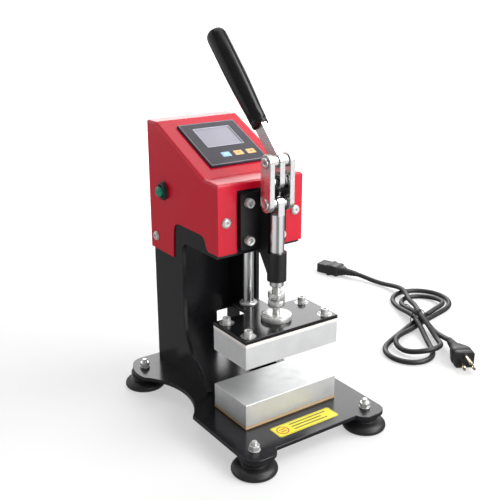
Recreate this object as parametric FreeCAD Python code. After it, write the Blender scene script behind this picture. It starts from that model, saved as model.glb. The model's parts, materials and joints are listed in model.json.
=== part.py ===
import FreeCAD, Part
import math
import os

from FreeCAD import Matrix, Placement, Rotation, Vector

# Small hand-lever heat press with two heated platens, and its loose mains lead.
# Lengths are millimetres. The model is drawn in the press frame: X to the right, Y back from
# the press axis, Z up from the base plate's top face. save() then moves every shape so that
# the origin is on the floor, under the middle of the footprint.

# ---- driving dimensions ----
AXIS_Y = -47.0            # press axis, seen from the middle of the footprint
BASE_TOP = 23.5           # base plate's top face above the floor
FLOOR = -BASE_TOP

BASE_THICK = 4.0
BASE_HALF_X = 90.5
BASE_FRONT = -73.5
ARM_FRONT = -84.0
BASE_REAR = 181.5
FOOT_RADIUS = 24.0
FRONT_FOOT = (73.5, -64.5)
REAR_FOOT = (79.0, 157.4)

PLATE = 5.0               # frame plates
FRAME_HALF_X = 52.6       # outer faces of the side plates
COLUMN_FRONT = 105.0
COLUMN_REAR = 169.0
HEAD_UNDER = 167.0
HEAD_FRONT = 34.2
HEAD_TOP = 236.0

SHEET = 1.2               # housing sheet
HOUSING_HALF_X = 54.0
HOUSING_FRONT = 28.0
HOUSING_REAR = 173.4
HOUSING_TOP = 293.7
SLOPE_FOOT = (54.8, 248.4)
SLOPE_HEAD = (153.5, HOUSING_TOP)
LEDGE_FRONT = 247.0
HOUSING_BOTTOM_FRONT = 172.0
HOUSING_BOTTOM_REAR = 145.0

PLATEN_X = 120.0
PLATEN_Y = 60.0
BLOCK = 25.0
INSULATION = 3.0
PRESS_PLATE = 4.0
PLATEN_GAP = 40.5         # open gap between the platens
TRAVEL = 40.0             # stroke of the toggle clamp
BOLT_X = 50.0
BOLT_Y = 20.0

ROD_Y = 52.0
ROD_RADIUS = 6.0
RUNNING = 0.06            # radial clearance of a running fit

PIVOT_Z = 250.5           # handle's pivot on the clamp body
CRANK = TRAVEL / 2
CRANK_Z = PIVOT_Z + CRANK
LINK_LENGTH = 43.0
TONGUE_PIN_Z = CRANK_Z - LINK_LENGTH
LEAN = math.radians(43.9)  # handle's lean behind the vertical
BAR_HALF_X = 3.0
LINK_IN = 9.5
LINK_OUT = 15.5
LINK_RADIUS = 8.3
PIN_RADIUS = 4.0

PLUNGER_RADIUS = 7.5
PLUNGER_LOW = 138.0
PLUNGER_SHOULDER = 216.0
BARREL_LOW = 144.2
BARREL_HIGH = 175.0

LEAD_RADIUS = 3.5
LEAD_ORIGIN = (322.0, 92.0)      # lead's tie, in plan
LEAD_ALONG = (0.571, 0.821)      # from the plug towards the connector
LEAD_ACROSS = (0.821, -0.571)

UP = Vector(0, 0, 1)
RIGHT = Vector(1, 0, 0)
BACK = Vector(0, 1, 0)

LOWER_BLOCK_LOW = INSULATION
LOWER_BLOCK_HIGH = LOWER_BLOCK_LOW + BLOCK
UPPER_BLOCK_LOW = LOWER_BLOCK_HIGH + PLATEN_GAP
UPPER_BLOCK_HIGH = UPPER_BLOCK_LOW + BLOCK
PRESS_PLATE_LOW = UPPER_BLOCK_HIGH + INSULATION
PRESS_PLATE_HIGH = PRESS_PLATE_LOW + PRESS_PLATE


# ---- helpers ----
def box(x0, x1, y0, y1, z0, z1):
    """Block between two corners."""
    return Part.makeBox(x1 - x0, y1 - y0, z1 - z0, Vector(x0, y0, z0))


def rod(radius, start, end):
    """Round bar from one point to another."""
    start = Vector(*start)
    along = Vector(*end) - start
    return Part.makeCylinder(radius, along.Length, start, along)


def ring(outer, inner, start, end):
    """Round bar with a through hole."""
    overlap = (Vector(*end) - Vector(*start)).normalize()
    hole = rod(inner, Vector(*start) - overlap, Vector(*end) + overlap)
    return rod(outer, start, end).cut(hole)


def cone(radius_a, radius_b, start, end):
    """Tapered round bar."""
    start = Vector(*start)
    along = Vector(*end) - start
    return Part.makeCone(radius_a, radius_b, along.Length, start, along)


def hexagon(across_flats, start, end):
    """Six-sided bar from one point to another."""
    start = Vector(*start)
    along = Vector(*end) - start
    radius = across_flats / math.sqrt(3)
    corners = []
    for step in range(7):
        turn = math.radians(60 * step)
        corners.append(Vector(radius * math.cos(turn), radius * math.sin(turn), 0))
    prism = Part.Face(Part.makePolygon(corners)).extrude(UP * along.Length)
    prism.Placement = Placement(start, Rotation(UP, along))
    return prism


def outline(start, steps, plane):
    """Closed wire of straight lines and arcs. A step is an end point, or (middle, end) of an arc."""
    edges = []
    here = plane(*start)
    for step in steps:
        if isinstance(step[0], tuple):
            middle = plane(*step[0])
            there = plane(*step[1])
            edges.append(Part.Arc(here, middle, there).toShape())
        else:
            there = plane(*step)
            edges.append(Part.makeLine(here, there))
        here = there
    return Part.Wire(edges)


def in_plan(x, y):
    return Vector(x, y, 0)


def in_side(y, z):
    return Vector(0, y, z)


def prism_x(start, steps, x0, x1):
    """Side-view outline made solid between two X planes."""
    solid = Part.Face(outline(start, steps, in_side)).extrude(RIGHT * (x1 - x0))
    solid.translate(RIGHT * x0)
    return solid


def prism_z(start, steps, z0, z1):
    """Plan outline made solid between two heights."""
    solid = Part.Face(outline(start, steps, in_plan)).extrude(UP * (z1 - z0))
    solid.translate(UP * z0)
    return solid


def turned(profile, x, y):
    """Solid of revolution about the vertical through (x, y). The profile lists (radius, z)."""
    points = [Vector(radius, 0, z) for radius, z in profile]
    points.append(points[0])
    solid = Part.Face(Part.makePolygon(points)).revolve(Vector(), UP, 360)
    solid.translate(Vector(x, y, 0))
    return solid


def rounded_box(x0, x1, y0, y1, z0, z1, radius, direction):
    """Block whose four edges along one direction are rounded."""
    solid = box(x0, x1, y0, y1, z0, z1)
    chosen = [edge for edge in solid.Edges if abs(edge.tangentAt(0).dot(direction)) > 0.9]
    return solid.makeFillet(radius, chosen)


def soften(solid, radius, test):
    """Fillet the edges whose middle point passes the test."""
    chosen = []
    for edge in solid.Edges:
        middle = edge.valueAt((edge.FirstParameter + edge.LastParameter) / 2)
        if test(middle):
            chosen.append(edge)
    return solid.makeFillet(radius, chosen)


def cut_all(solid, tools):
    for tool in tools:
        solid = solid.cut(tool)
    return solid


def mirrored(shape):
    """The same shape on the other side of the middle plane."""
    return shape.mirror(Vector(), RIGHT)


def both_sides(shape):
    return [shape, mirrored(shape)]


def socket_screw(radius, start, direction, length, head_radius, head_length, key):
    """Screw with a cylindrical head. start is under the head, direction points to its tip."""
    start = Vector(*start)
    direction = Vector(*direction)
    top = start - direction * head_length
    shank = rod(radius, start, start + direction * length)
    screw = shank.fuse(rod(head_radius, top, start)).removeSplitter()
    return screw.cut(hexagon(key, top, top + direction * head_length * 0.5))


def button_screw(radius, start, direction, length, head_radius, head_length, key):
    """Screw with a low domed head and a hexagon socket."""
    start = Vector(*start)
    direction = Vector(*direction)
    top = start - direction * head_length
    head = cone(head_radius * 0.62, head_radius, top, start)
    screw = rod(radius, start, start + direction * length).fuse(head).removeSplitter()
    return screw.cut(hexagon(key, top, top + direction * head_length * 0.6))


def on_slope(shape):
    """Move a shape from the panel frame (X, up the slope, outwards) to the press frame."""
    rise = SLOPE_HEAD[1] - SLOPE_FOOT[1]
    reach = SLOPE_HEAD[0] - SLOPE_FOOT[0]
    angle = math.degrees(math.atan2(rise, reach))
    turn = Rotation(RIGHT, angle)
    moved = shape.copy()
    moved.Placement = Placement(Vector(0, *SLOPE_FOOT), turn)
    return moved


def save(name, *shapes):
    """Write one node's STEP file in the part's own frame."""
    solids = []
    for shape in shapes:
        solids.extend(shape.Solids)
    node = solids[0] if len(solids) == 1 else Part.makeCompound(solids)
    node = node.copy()
    node.translate(Vector(0, AXIS_Y, BASE_TOP))
    if not node.isValid():
        print("not valid:", name)
    node.exportStep("parts/" + name + ".step")


def four_corners(x, y):
    return [(-x, -y), (x, -y), (-x, y), (x, y)]


FEET = [
    (-FRONT_FOOT[0], FRONT_FOOT[1]),
    FRONT_FOOT,
    (-REAR_FOOT[0], REAR_FOOT[1]),
    REAR_FOOT,
]


# ---- base plate and feet ----
def base_plate():
    waist_middle = (70.5, 79.0)
    right = prism_z(
        (0, BASE_FRONT),
        [
            (53.3, BASE_FRONT),
            ((57.0, -80.0), (64.0, ARM_FRONT)),
            (76.5, ARM_FRONT),
            ((86.4, -79.8), (BASE_HALF_X, -69.0)),
            (BASE_HALF_X, 26.0),
            (waist_middle, (93.0, 132.0)),
            ((95.2, 152.0), (88.0, 170.5)),
            ((81.5, 178.6), (71.5, BASE_REAR)),
            (0, BASE_REAR),
            (0, BASE_FRONT),
        ],
        -BASE_THICK,
        0,
    )
    plate = right.fuse(mirrored(right)).removeSplitter()
    plate = soften(plate, 0.7, lambda p: abs(p.z) < 0.01)
    for x, y in FEET:
        plate = plate.cut(rod(3.2, (x, y, -BASE_THICK - 1), (x, y, 1)))
    for x, y in four_corners(BOLT_X, BOLT_Y):
        plate = plate.cut(rod(2.6, (x, y, -BASE_THICK - 1), (x, y, 1)))
    return plate


def foot(x, y):
    """Rubber suction foot: domed neck, groove and flared rim, hollow underneath."""
    profile = [
        (3.05, -BASE_THICK),
        (15.4, -BASE_THICK),
        (16.4, -5.6),
        (15.8, -9.0),
        (13.6, -11.8),
        (14.6, -13.4),
        (19.4, -14.8),
        (22.8, -17.0),
        (FOOT_RADIUS, -19.6),
        (23.4, -22.2),
        (22.0, FLOOR),
        (19.6, FLOOR),
        (15.0, -21.0),
        (6.0, -20.0),
        (0, -20.0),
        (0, -14.0),
        (3.05, -14.0),
    ]
    return turned(profile, x, y)


def foot_fasteners(x, y):
    """Stud, washer and nut that hold one foot."""
    stud = rod(3.0, (x, y, -13.8), (x, y, 10.0))
    stud = stud.makeChamfer(0.6, [e for e in stud.Edges if e.BoundBox.ZMin > 9.9])
    washer = ring(6.2, 3.05, (x, y, 0), (x, y, 1.0))
    nut = hexagon(10.0, (x, y, 1.0), (x, y, 6.0)).cut(rod(3.05, (x, y, 0), (x, y, 7)))
    return [stud, washer, nut]


def lower_block_screws():
    return [
        socket_screw(2.5, (x, y, -BASE_THICK), UP, 18.0, 4.25, 5.0, 4.0)
        for x, y in four_corners(BOLT_X, BOLT_Y)
    ]


def build_base():
    save("base_plate", base_plate())
    names = ["front_left", "front_right", "rear_left", "rear_right"]
    fasteners = []
    for name, (x, y) in zip(names, FEET):
        save("foot_" + name, foot(x, y))
        fasteners.extend(foot_fasteners(x, y))
    save("base_fasteners", *fasteners, *lower_block_screws())
    label = rounded_box(-39.0, 39.0, -62.0, -42.6, 0, 0.3, 2.4, UP)
    save("label_plate", label)


# ---- welded frame ----
BUTTON_AT = (139.0, 218.5)
SIDE_SCREW_AT = (160.4, 160.6)
CABLE_HOLE = (119.0, 147.0, 26.0, 54.0)


def side_plate(x0, x1):
    bend = 60.0
    bend_low_y = COLUMN_FRONT - bend * (1 - math.cos(math.radians(45)))
    bend_mid_y = COLUMN_FRONT - bend * (1 - math.cos(math.radians(22.5)))
    bend_low_z = bend_low_y - 55.0
    bend_high_z = bend_low_z + bend * math.sin(math.radians(45))
    bend_mid_z = bend_high_z - bend * math.sin(math.radians(22.5))
    corner = 12.0
    corner_mid = corner * (1 - math.cos(math.radians(45)))
    plate = prism_x(
        (COLUMN_REAR, 0),
        [
            (COLUMN_REAR, HEAD_TOP),
            (HEAD_FRONT, HEAD_TOP),
            (HEAD_FRONT, HEAD_UNDER),
            (COLUMN_FRONT - corner, HEAD_UNDER),
            (
                (COLUMN_FRONT - corner_mid, HEAD_UNDER - corner_mid),
                (COLUMN_FRONT, HEAD_UNDER - corner),
            ),
            (COLUMN_FRONT, bend_high_z),
            ((bend_mid_y, bend_mid_z), (bend_low_y, bend_low_z)),
            (57.0, 2.0),
            (57.0, 0),
            (COLUMN_REAR, 0),
        ],
        x0,
        x1,
    )
    plate = soften(plate, 0.7, lambda p: p.y < COLUMN_FRONT + 1 and 2.5 < p.z < HEAD_UNDER + 0.5
                   and min(abs(p.x - x0), abs(p.x - x1)) < 0.01)
    screw = rod(2.55, (x0 - 1, *SIDE_SCREW_AT), (x1 + 1, *SIDE_SCREW_AT))
    return plate.cut(screw)


def build_frame():
    inner = FRAME_HALF_X - PLATE
    left = side_plate(-FRAME_HALF_X, -inner)
    left = left.cut(rod(12.2, (-FRAME_HALF_X - 1, *BUTTON_AT), (-inner + 1, *BUTTON_AT)))
    save("side_plate_left", left)

    y0, y1, z0, z1 = CABLE_HOLE
    hole = rounded_box(inner - 1, FRAME_HALF_X + 1, y0, y1, z0, z1, 5.0, RIGHT)
    save("side_plate_right", side_plate(inner, FRAME_HALF_X).cut(hole))

    back = box(-inner, inner, COLUMN_REAR - PLATE, COLUMN_REAR, 0, 185.0)
    notch = box(29.0, inner + 1, COLUMN_REAR - PLATE - 1, COLUMN_REAR + 1, -1, 44.0)
    back = cut_all(back, both_sides(notch))
    for x, z in COVER_SCREWS:
        back = back.cut(rod(2.05, (x, COLUMN_REAR - PLATE - 1, z), (x, COLUMN_REAR + 1, z)))
    save("back_plate", back)

    front = box(-FRAME_HALF_X, FRAME_HALF_X, HEAD_FRONT - PLATE, HEAD_FRONT, 169.5, 240.0)
    front = soften(front, 2.6, lambda p: abs(p.x) > 50 and p.y < HEAD_FRONT - 1 and 200 < p.z < 210)
    for x, z in CLAMP_SCREWS:
        front = front.cut(rod(3.1, (x, HEAD_FRONT - PLATE - 1, z), (x, HEAD_FRONT + 1, z)))
    for x in (-44.2, 44.2):
        front = front.cut(rod(2.55, (x, HEAD_FRONT - PLATE - 1, 206.7), (x, HEAD_FRONT + 1, 206.7)))
    save("head_front_plate", front)

    floor = box(-inner, inner, HEAD_FRONT, COLUMN_REAR - PLATE, HEAD_UNDER, HEAD_UNDER + PLATE)
    floor = floor.cut(rod(10.05, (0, ROD_Y, HEAD_UNDER - 1), (0, ROD_Y, HEAD_UNDER + PLATE + 1)))
    floor = floor.cut(rod(7.0, (0, 100, HEAD_UNDER - 1), (0, 100, HEAD_UNDER + PLATE + 1)))
    save("head_floor_plate", floor)

    bush = ring(10.0, ROD_RADIUS + RUNNING, (0, ROD_Y, HEAD_UNDER + 0.5), (0, ROD_Y, 197.0))
    save("guide_bush", bush)
    grommet = ring(6.9, 4.0, (0, 100, HEAD_UNDER - 0.1), (0, 100, HEAD_UNDER + PLATE + 0.1))
    for low, high in ((HEAD_UNDER - 2.0, HEAD_UNDER - 0.1), (HEAD_UNDER + PLATE + 0.1, HEAD_UNDER + PLATE + 2)):
        grommet = grommet.fuse(ring(9.0, 4.0, (0, 100, low), (0, 100, high)))
    save("lead_grommet", grommet.removeSplitter())


# ---- housing ----
CLAMP_SCREWS = [(-20.3, 185.5), (20.3, 185.5), (-20.3, 226.0), (20.3, 226.0)]
COVER_SCREWS = [(-44.0, 152.0), (44.0, 152.0), (-44.0, 178.0), (44.0, 178.0)]


def housing_profile(inset, x0, x1, rear):
    """Solid of the housing's side view, drawn in by the same distance all round."""
    slope = math.atan2(SLOPE_HEAD[1] - SLOPE_FOOT[1], SLOPE_HEAD[0] - SLOPE_FOOT[0])
    lower = inset * math.tan(slope / 2)
    return prism_x(
        (HOUSING_FRONT + inset, 100.0),
        [
            (HOUSING_FRONT + inset, LEDGE_FRONT - inset),
            (SLOPE_FOOT[0] + lower, SLOPE_FOOT[1] - inset),
            (SLOPE_HEAD[0] + lower, SLOPE_HEAD[1] - inset),
            (rear, SLOPE_HEAD[1] - inset),
            (rear, 100.0),
            (HOUSING_FRONT + inset, 100.0),
        ],
        x0,
        x1,
    )


def long_top_edge(half_x):
    def test(p):
        on_side = abs(abs(p.x) - half_x) < 0.01 and p.z > 110 and HOUSING_FRONT < p.y < 172
        on_front = abs(p.x) < 1 and p.y < HOUSING_FRONT + 4 and p.z > 200
        return on_side or on_front
    return test


def housing_shell():
    outer = housing_profile(0, -HOUSING_HALF_X, HOUSING_HALF_X, HOUSING_REAR)
    outer = soften(outer, 3.0, long_top_edge(HOUSING_HALF_X))
    inner_half = HOUSING_HALF_X - SHEET
    inner = housing_profile(SHEET, -inner_half, inner_half, HOUSING_REAR + 1)
    inner = soften(inner, 1.8, long_top_edge(inner_half))
    shell = outer.cut(inner)
    front_low = box(-60, 60, 20, 49.0, 90, HOUSING_BOTTOM_FRONT)
    mouth = box(-31.0, 31.0, 20, HOUSING_FRONT + SHEET + 0.5, 90, 238.5)
    skirt = prism_x(
        (20, 90),
        [
            (20, HOUSING_BOTTOM_FRONT - 1),
            (44.0, HOUSING_BOTTOM_FRONT - 1),
            ((49.5, 173.5), (53.0, 178.0)),
            ((56.3, 184.3), (63.0, 187.0)),
            (108.0, 187.0),
            ((117.0, 183.4), (120.5, 175.0)),
            (122.5, HOUSING_BOTTOM_REAR),
            (180, HOUSING_BOTTOM_REAR),
            (180, 90),
            (20, 90),
        ],
        -60,
        60,
    )
    panel = on_slope(panel_box(2.4, -10, 10))
    button = rod(8.1, (-60, *BUTTON_AT), (-50, *BUTTON_AT))
    holes = [front_low, mouth, skirt, panel, button]
    for x in (-44.2, 44.2):
        holes.append(rod(2.6, (x, 20, 206.7), (x, 32, 206.7)))
    for x in (-54, 54):
        holes.append(rod(2.6, (x - 3, *SIDE_SCREW_AT), (x + 3, *SIDE_SCREW_AT)))
    return cut_all(shell, holes)


INLET_X = 13.6
INLET_LOW = 196.8
INLET_HIGH = 248.2


def build_housing():
    save("housing_shell", housing_shell())
    half = HOUSING_HALF_X - SHEET - 0.1
    cover = box(-half, half, HOUSING_REAR - SHEET, HOUSING_REAR, HOUSING_BOTTOM_REAR, HOUSING_TOP - SHEET - 0.1)
    cover = soften(cover, 2.5, lambda p: abs(p.x) > 50 and p.z > 285 and abs(p.y - HOUSING_REAR + SHEET / 2) < 0.1)
    cover = cover.cut(box(-INLET_X, INLET_X, 160, 180, INLET_LOW, INLET_HIGH))
    for row in range(6):
        z = 262.0 + 4.0 * row
        cover = cover.cut(rounded_box(-24, 24, 160, 180, z, z + 2.0, 0.9, BACK))
    for x, z in COVER_SCREWS:
        cover = cover.cut(rod(2.1, (x, 160, z), (x, 180, z)))
    save("housing_rear_cover", cover)

    front = [
        button_screw(2.5, (x, HOUSING_FRONT, 206.7), BACK, 9.0, 5.5, 3.0, 3.0) for x in (-44.2, 44.2)
    ]
    side = [
        button_screw(2.5, (s * HOUSING_HALF_X, *SIDE_SCREW_AT), (-s, 0, 0), 9.0, 5.5, 3.0, 3.0)
        for s in (-1, 1)
    ]
    rear = [button_screw(2.0, (x, HOUSING_REAR, z), -BACK, 11.0, 3.8, 2.2, 2.5) for x, z in COVER_SCREWS]
    save("housing_screws", *front, *side, *rear)


# ---- temperature controller ----
PANEL = (-35.7, 38.3, 15.5, 93.5)         # bezel's edges across and up the slope
LCD = (-21.6, 25.4, 47.4, 82.9)
KEYS = [("key_set", -7.4), ("key_down", 8.6), ("key_up", 24.6)]
KEY_V = 32.1
KEY_HALF = (5.4, 4.0)


def panel_box(inset, low, high):
    """Block inside the bezel's outline, in the panel frame."""
    x0, x1, v0, v1 = PANEL
    return box(x0 + inset, x1 - inset, v0 + inset, v1 - inset, low, high)


def build_controller():
    bezel = rounded_box(*PANEL, 0, 2.8, 1.5, UP)
    bezel = soften(bezel, 1.0, lambda p: p.z > 2.7)
    x0, x1, v0, v1 = LCD
    bezel = bezel.cut(box(x0, x1, v0, v1, 1.0, 3))
    bezel = bezel.cut(box(x0 + 1.5, x1 - 1.5, v0 + 1.5, v1 - 1.5, -1, 3))
    for _, x in KEYS:
        hole = rounded_box(
            x - KEY_HALF[0] - 0.3, x + KEY_HALF[0] + 0.3, KEY_V - KEY_HALF[1] - 0.3, KEY_V + KEY_HALF[1] + 0.3,
            -1, 3, 1.0, UP,
        )
        bezel = bezel.cut(hole)
    save("controller_bezel", on_slope(bezel))
    save("display_window", on_slope(box(x0 + 0.1, x1 - 0.1, v0 + 0.1, v1 - 0.1, 1.0, 1.9)))

    case = panel_box(3, -34, -0.1).cut(panel_box(5, -32, 1))
    save("controller_case", on_slope(case))
    board = panel_box(5.5, -7.2, -5.6)
    display = box(x0 + 2, x1 - 2, v0 + 2, v1 - 2, -5.5, 0.6)
    save("controller_board", on_slope(board), on_slope(display))
    for name, x in KEYS:
        cap = rounded_box(x - KEY_HALF[0], x + KEY_HALF[0], KEY_V - KEY_HALF[1], KEY_V + KEY_HALF[1],
                          -0.6, 3.0, 0.8, UP)
        cap = soften(cap, 0.3, lambda p: p.z > 2.9)
        stem = box(x - 1.5, x + 1.5, KEY_V - 1.5, KEY_V + 1.5, -4.8, -0.6)
        save(name, on_slope(cap.fuse(stem).removeSplitter()))


# ---- green push button on the left side ----
def build_push_button():
    y, z = BUTTON_AT
    body = hexagon(20.0, (-55.6, y, z), (-HOUSING_HALF_X, y, z))
    body = body.fuse(rod(9.6, (-59.2, y, z), (-HOUSING_HALF_X, y, z)))
    body = body.fuse(rod(7.9, (-HOUSING_HALF_X, y, z), (-34, y, z))).removeSplitter()
    body = body.cut(rod(6.6, (-60, y, z), (-50.4, y, z)))
    dome = rod(6.0, (-63.5, y, z), (-53.0, y, z))
    dome = soften(dome, 2.6, lambda p: p.x < -63.4)
    save("push_button_cap", dome)
    nut = hexagon(19.0, (-52.7, y, z), (-49.9, y, z)).cut(rod(7.95, (-60, y, z), (-40, y, z)))
    save("push_button_body", body, nut)


# ---- rear inlet with switch and fuse ----
SOCKET_Z = (200.0, 216.5)
FUSE_Z = (219.4, 227.4)
ROCKER_Z = 238.5
ROCKER_Y = 170.0


def build_inlet():
    flange = rounded_box(-15.5, 15.5, HOUSING_REAR, 175.4, 194.5, 250.5, 2.0, BACK)
    body = box(-INLET_X + 0.1, INLET_X - 0.1, 146.0, HOUSING_REAR, INLET_LOW + 0.1, INLET_HIGH - 0.1)
    module = flange.fuse(body).removeSplitter()
    z0, z1 = SOCKET_Z
    socket = Part.Face(Part.makePolygon([
        Vector(-11.8, 0, z0), Vector(11.8, 0, z0), Vector(11.8, 0, z1 - 3.5), Vector(8.3, 0, z1),
        Vector(-8.3, 0, z1), Vector(-11.8, 0, z1 - 3.5), Vector(-11.8, 0, z0),
    ])).extrude(BACK * 20)
    socket.translate(BACK * 158.5)
    drawer_hole = box(-8.3, 8.3, 152.0, 180, FUSE_Z[0] - 0.3, FUSE_Z[1] + 0.3)
    rocker_hole = box(-9.3, 9.3, 158.0, 180, ROCKER_Z - 8.5, ROCKER_Z + 8.5)
    module = cut_all(module, [socket, drawer_hole, rocker_hole])
    pins = []
    for x, z in ((-7.0, 206.9), (7.0, 206.9), (0, 210.9)):
        module = module.cut(box(x - 1.05, x + 1.05, 150, 165, z - 2.05, z + 2.05))
        pins.append(box(x - 1.0, x + 1.0, 151.0, 173.0, z - 2.0, z + 2.0))
    for s in (-1, 1):
        module = module.cut(rod(1.5, (s * 9.4, 165, ROCKER_Z), (s * 11.0, 165, ROCKER_Z)))
    save("inlet_socket", module)
    save("inlet_pins", *pins)

    round_part = rod(8.1, (-9.0, ROCKER_Y, ROCKER_Z), (9.0, ROCKER_Y, ROCKER_Z))
    face = prism_x(
        (162.0, ROCKER_Z - 12),
        [(176.2, ROCKER_Z - 12), (174.6, ROCKER_Z), (178.2, ROCKER_Z + 12), (162.0, ROCKER_Z + 12),
         (162.0, ROCKER_Z - 12)],
        -9.0,
        9.0,
    )
    save("rocker_switch", round_part.common(face))

    drawer = box(-8.0, 8.0, 153.0, 175.4, *FUSE_Z)
    drawer = drawer.fuse(box(-8.0, 8.0, 175.4, 176.4, FUSE_Z[0] + 1.0, FUSE_Z[1] - 1.0)).removeSplitter()
    drawer = drawer.cut(box(-6.5, 6.5, 156.0, 172.0, FUSE_Z[0] + 1.0, FUSE_Z[1] + 1))
    fuse = rod(2.4, (0, 157.0, 223.3), (0, 171.0, 223.3))
    save("fuse_drawer", drawer, fuse)


# ---- parts inside the head ----
def build_electrics():
    top = HEAD_UNDER + PLATE
    relays = [box(s - 16.5, s + 16.5, 112.0, 155.0, top, top + 22.0) for s in (-28.5, 28.5)]
    relays = [soften(relay, 1.5, lambda p: p.z > top + 21.9) for relay in relays]
    block = box(14.0, 44.0, 68.0, 84.0, top, top + 12.0)
    for step in range(3):
        x = 19.0 + 10.0 * step
        block = block.cut(rod(2.5, (x, 76.0, top + 6), (x, 76.0, top + 13)))
    save("relays_and_terminal_block", *relays, block)


# ---- toggle clamp ----
WEB_FRONT = 8.6
FLANGE_FRONT = 23.2
FLANGE_REAR = HEAD_FRONT - PLATE
FLANGE_HALF_X = 29.0
EAR_RADIUS = 6.2
EAR_SIDES = (3.3, 6.0)


def clamp_body():
    flange = rounded_box(-FLANGE_HALF_X, FLANGE_HALF_X, FLANGE_FRONT, FLANGE_REAR, 175.0, 236.0, 3.0, BACK)
    web = prism_x(
        (FLANGE_REAR, 168.5),
        [(23.6, 168.5), (9.0, 147.0), (8.0, 147.0), (8.0, BARREL_HIGH), (WEB_FRONT, BARREL_HIGH),
         (WEB_FRONT, 240.0), (FLANGE_REAR, 236.0), (FLANGE_REAR, 168.5)],
        -5.0,
        5.0,
    )
    barrel = rod(10.25, (0, 0, BARREL_LOW), (0, 0, BARREL_HIGH))
    saddle = box(-8.5, 8.5, 9.0, 16.0, 230.0, 243.0)
    body = flange.fuse([web, barrel, saddle])
    x0, x1 = EAR_SIDES
    ear = rod(EAR_RADIUS, (x0, 0, PIVOT_Z), (x1, 0, PIVOT_Z))
    ear = ear.fuse(box(x0, x1, 0, 14.0, 241.0, PIVOT_Z + EAR_RADIUS))
    body = body.fuse(both_sides(ear)).removeSplitter()
    body = body.cut(rod(PLUNGER_RADIUS + RUNNING, (0, 0, BARREL_LOW - 1), (0, 0, BARREL_HIGH + 1)))
    body = body.cut(rod(PIN_RADIUS + 0.05, (-10, 0, PIVOT_Z), (10, 0, PIVOT_Z)))
    for x, z in CLAMP_SCREWS:
        body = body.cut(rod(3.1, (x, FLANGE_FRONT - 1, z), (x, FLANGE_REAR + 1, z)))
    return body


def handle_direction(distance, offset=0.0):
    """Point on the leaning part of the handle, so far past the crank pin."""
    y = distance * math.sin(LEAN) + offset * math.cos(LEAN)
    z = CRANK_Z + distance * math.cos(LEAN) - offset * math.sin(LEAN)
    return (0, y, z)


GRIP_START = 43.6
GRIP_END = 165.3
BAR_END = 134.0


def handle_bar():
    lower = box(-BAR_HALF_X, BAR_HALF_X, -8, 8, PIVOT_Z, CRANK_Z)
    eyes = [rod(8.0, (-BAR_HALF_X, 0, z), (BAR_HALF_X, 0, z)) for z in (PIVOT_Z, CRANK_Z)]
    half = 7.0
    near_low = handle_direction(0, half)
    near_high = handle_direction(0, -half)
    far_low = handle_direction(BAR_END, half)
    far_high = handle_direction(BAR_END, -half)
    arm = prism_x(near_low[1:], [far_low[1:], far_high[1:], near_high[1:], near_low[1:]],
                  -BAR_HALF_X, BAR_HALF_X)
    bar = lower.fuse(eyes + [arm]).removeSplitter()
    bar = bar.cut(rod(PIN_RADIUS + 0.05, (-10, 0, PIVOT_Z), (10, 0, PIVOT_Z)))
    return bar.cut(rod(PIN_RADIUS + 0.05, (-10, 0, CRANK_Z), (10, 0, CRANK_Z)))


def handle_grip():
    profile = [
        (0, GRIP_START),
        (8.9, GRIP_START),
        (9.4, 62.0),
        (10.4, 82.0),
        (11.1, 107.0),
        (11.3, GRIP_END - 8.0),
        (10.6, GRIP_END - 4.0),
        (8.8, GRIP_END - 1.6),
        (6.0, GRIP_END),
        (0, GRIP_END),
    ]
    grip = turned(profile, 0, 0)
    half_x = BAR_HALF_X + 0.05
    grip = grip.cut(box(-half_x, half_x, -7.05, 7.05, GRIP_START - 1, BAR_END + 0.2))
    grip.Placement = Placement(Vector(0, 0, CRANK_Z), Rotation(RIGHT, -math.degrees(LEAN)))
    return grip


def headed_pin(radius, head_radius, reach, head):
    """Cross pin with a flat head at each end and a hexagon socket in each head."""
    pin = rod(radius, (-reach, 0, 0), (reach, 0, 0))
    for side in (-1, 1):
        disc = rod(head_radius, (side * reach, 0, 0), (side * (reach + head), 0, 0))
        pin = pin.fuse(disc)
    pin = pin.removeSplitter()
    if reach > 10:
        for side in (-1, 1):
            tip = side * (reach + head)
            pin = pin.cut(hexagon(3.4, (tip - side * 1.2, 0, 0), (tip + side * 0.2, 0, 0)))
    return pin


def link(x0, x1):
    low = TONGUE_PIN_Z
    bar = box(x0, x1, -LINK_RADIUS, LINK_RADIUS, low, CRANK_Z)
    bar = bar.fuse([rod(LINK_RADIUS, (x0, 0, z), (x1, 0, z)) for z in (low, CRANK_Z)]).removeSplitter()
    bar = soften(bar, 0.6, lambda p: min(abs(p.x - x0), abs(p.x - x1)) < 0.01)
    bar = bar.cut(rod(PIN_RADIUS + 0.05, (x0 - 1, 0, CRANK_Z), (x1 + 1, 0, CRANK_Z)))
    return bar.cut(rod(4.55, (x0 - 1, 0, low), (x1 + 1, 0, low)))


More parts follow.
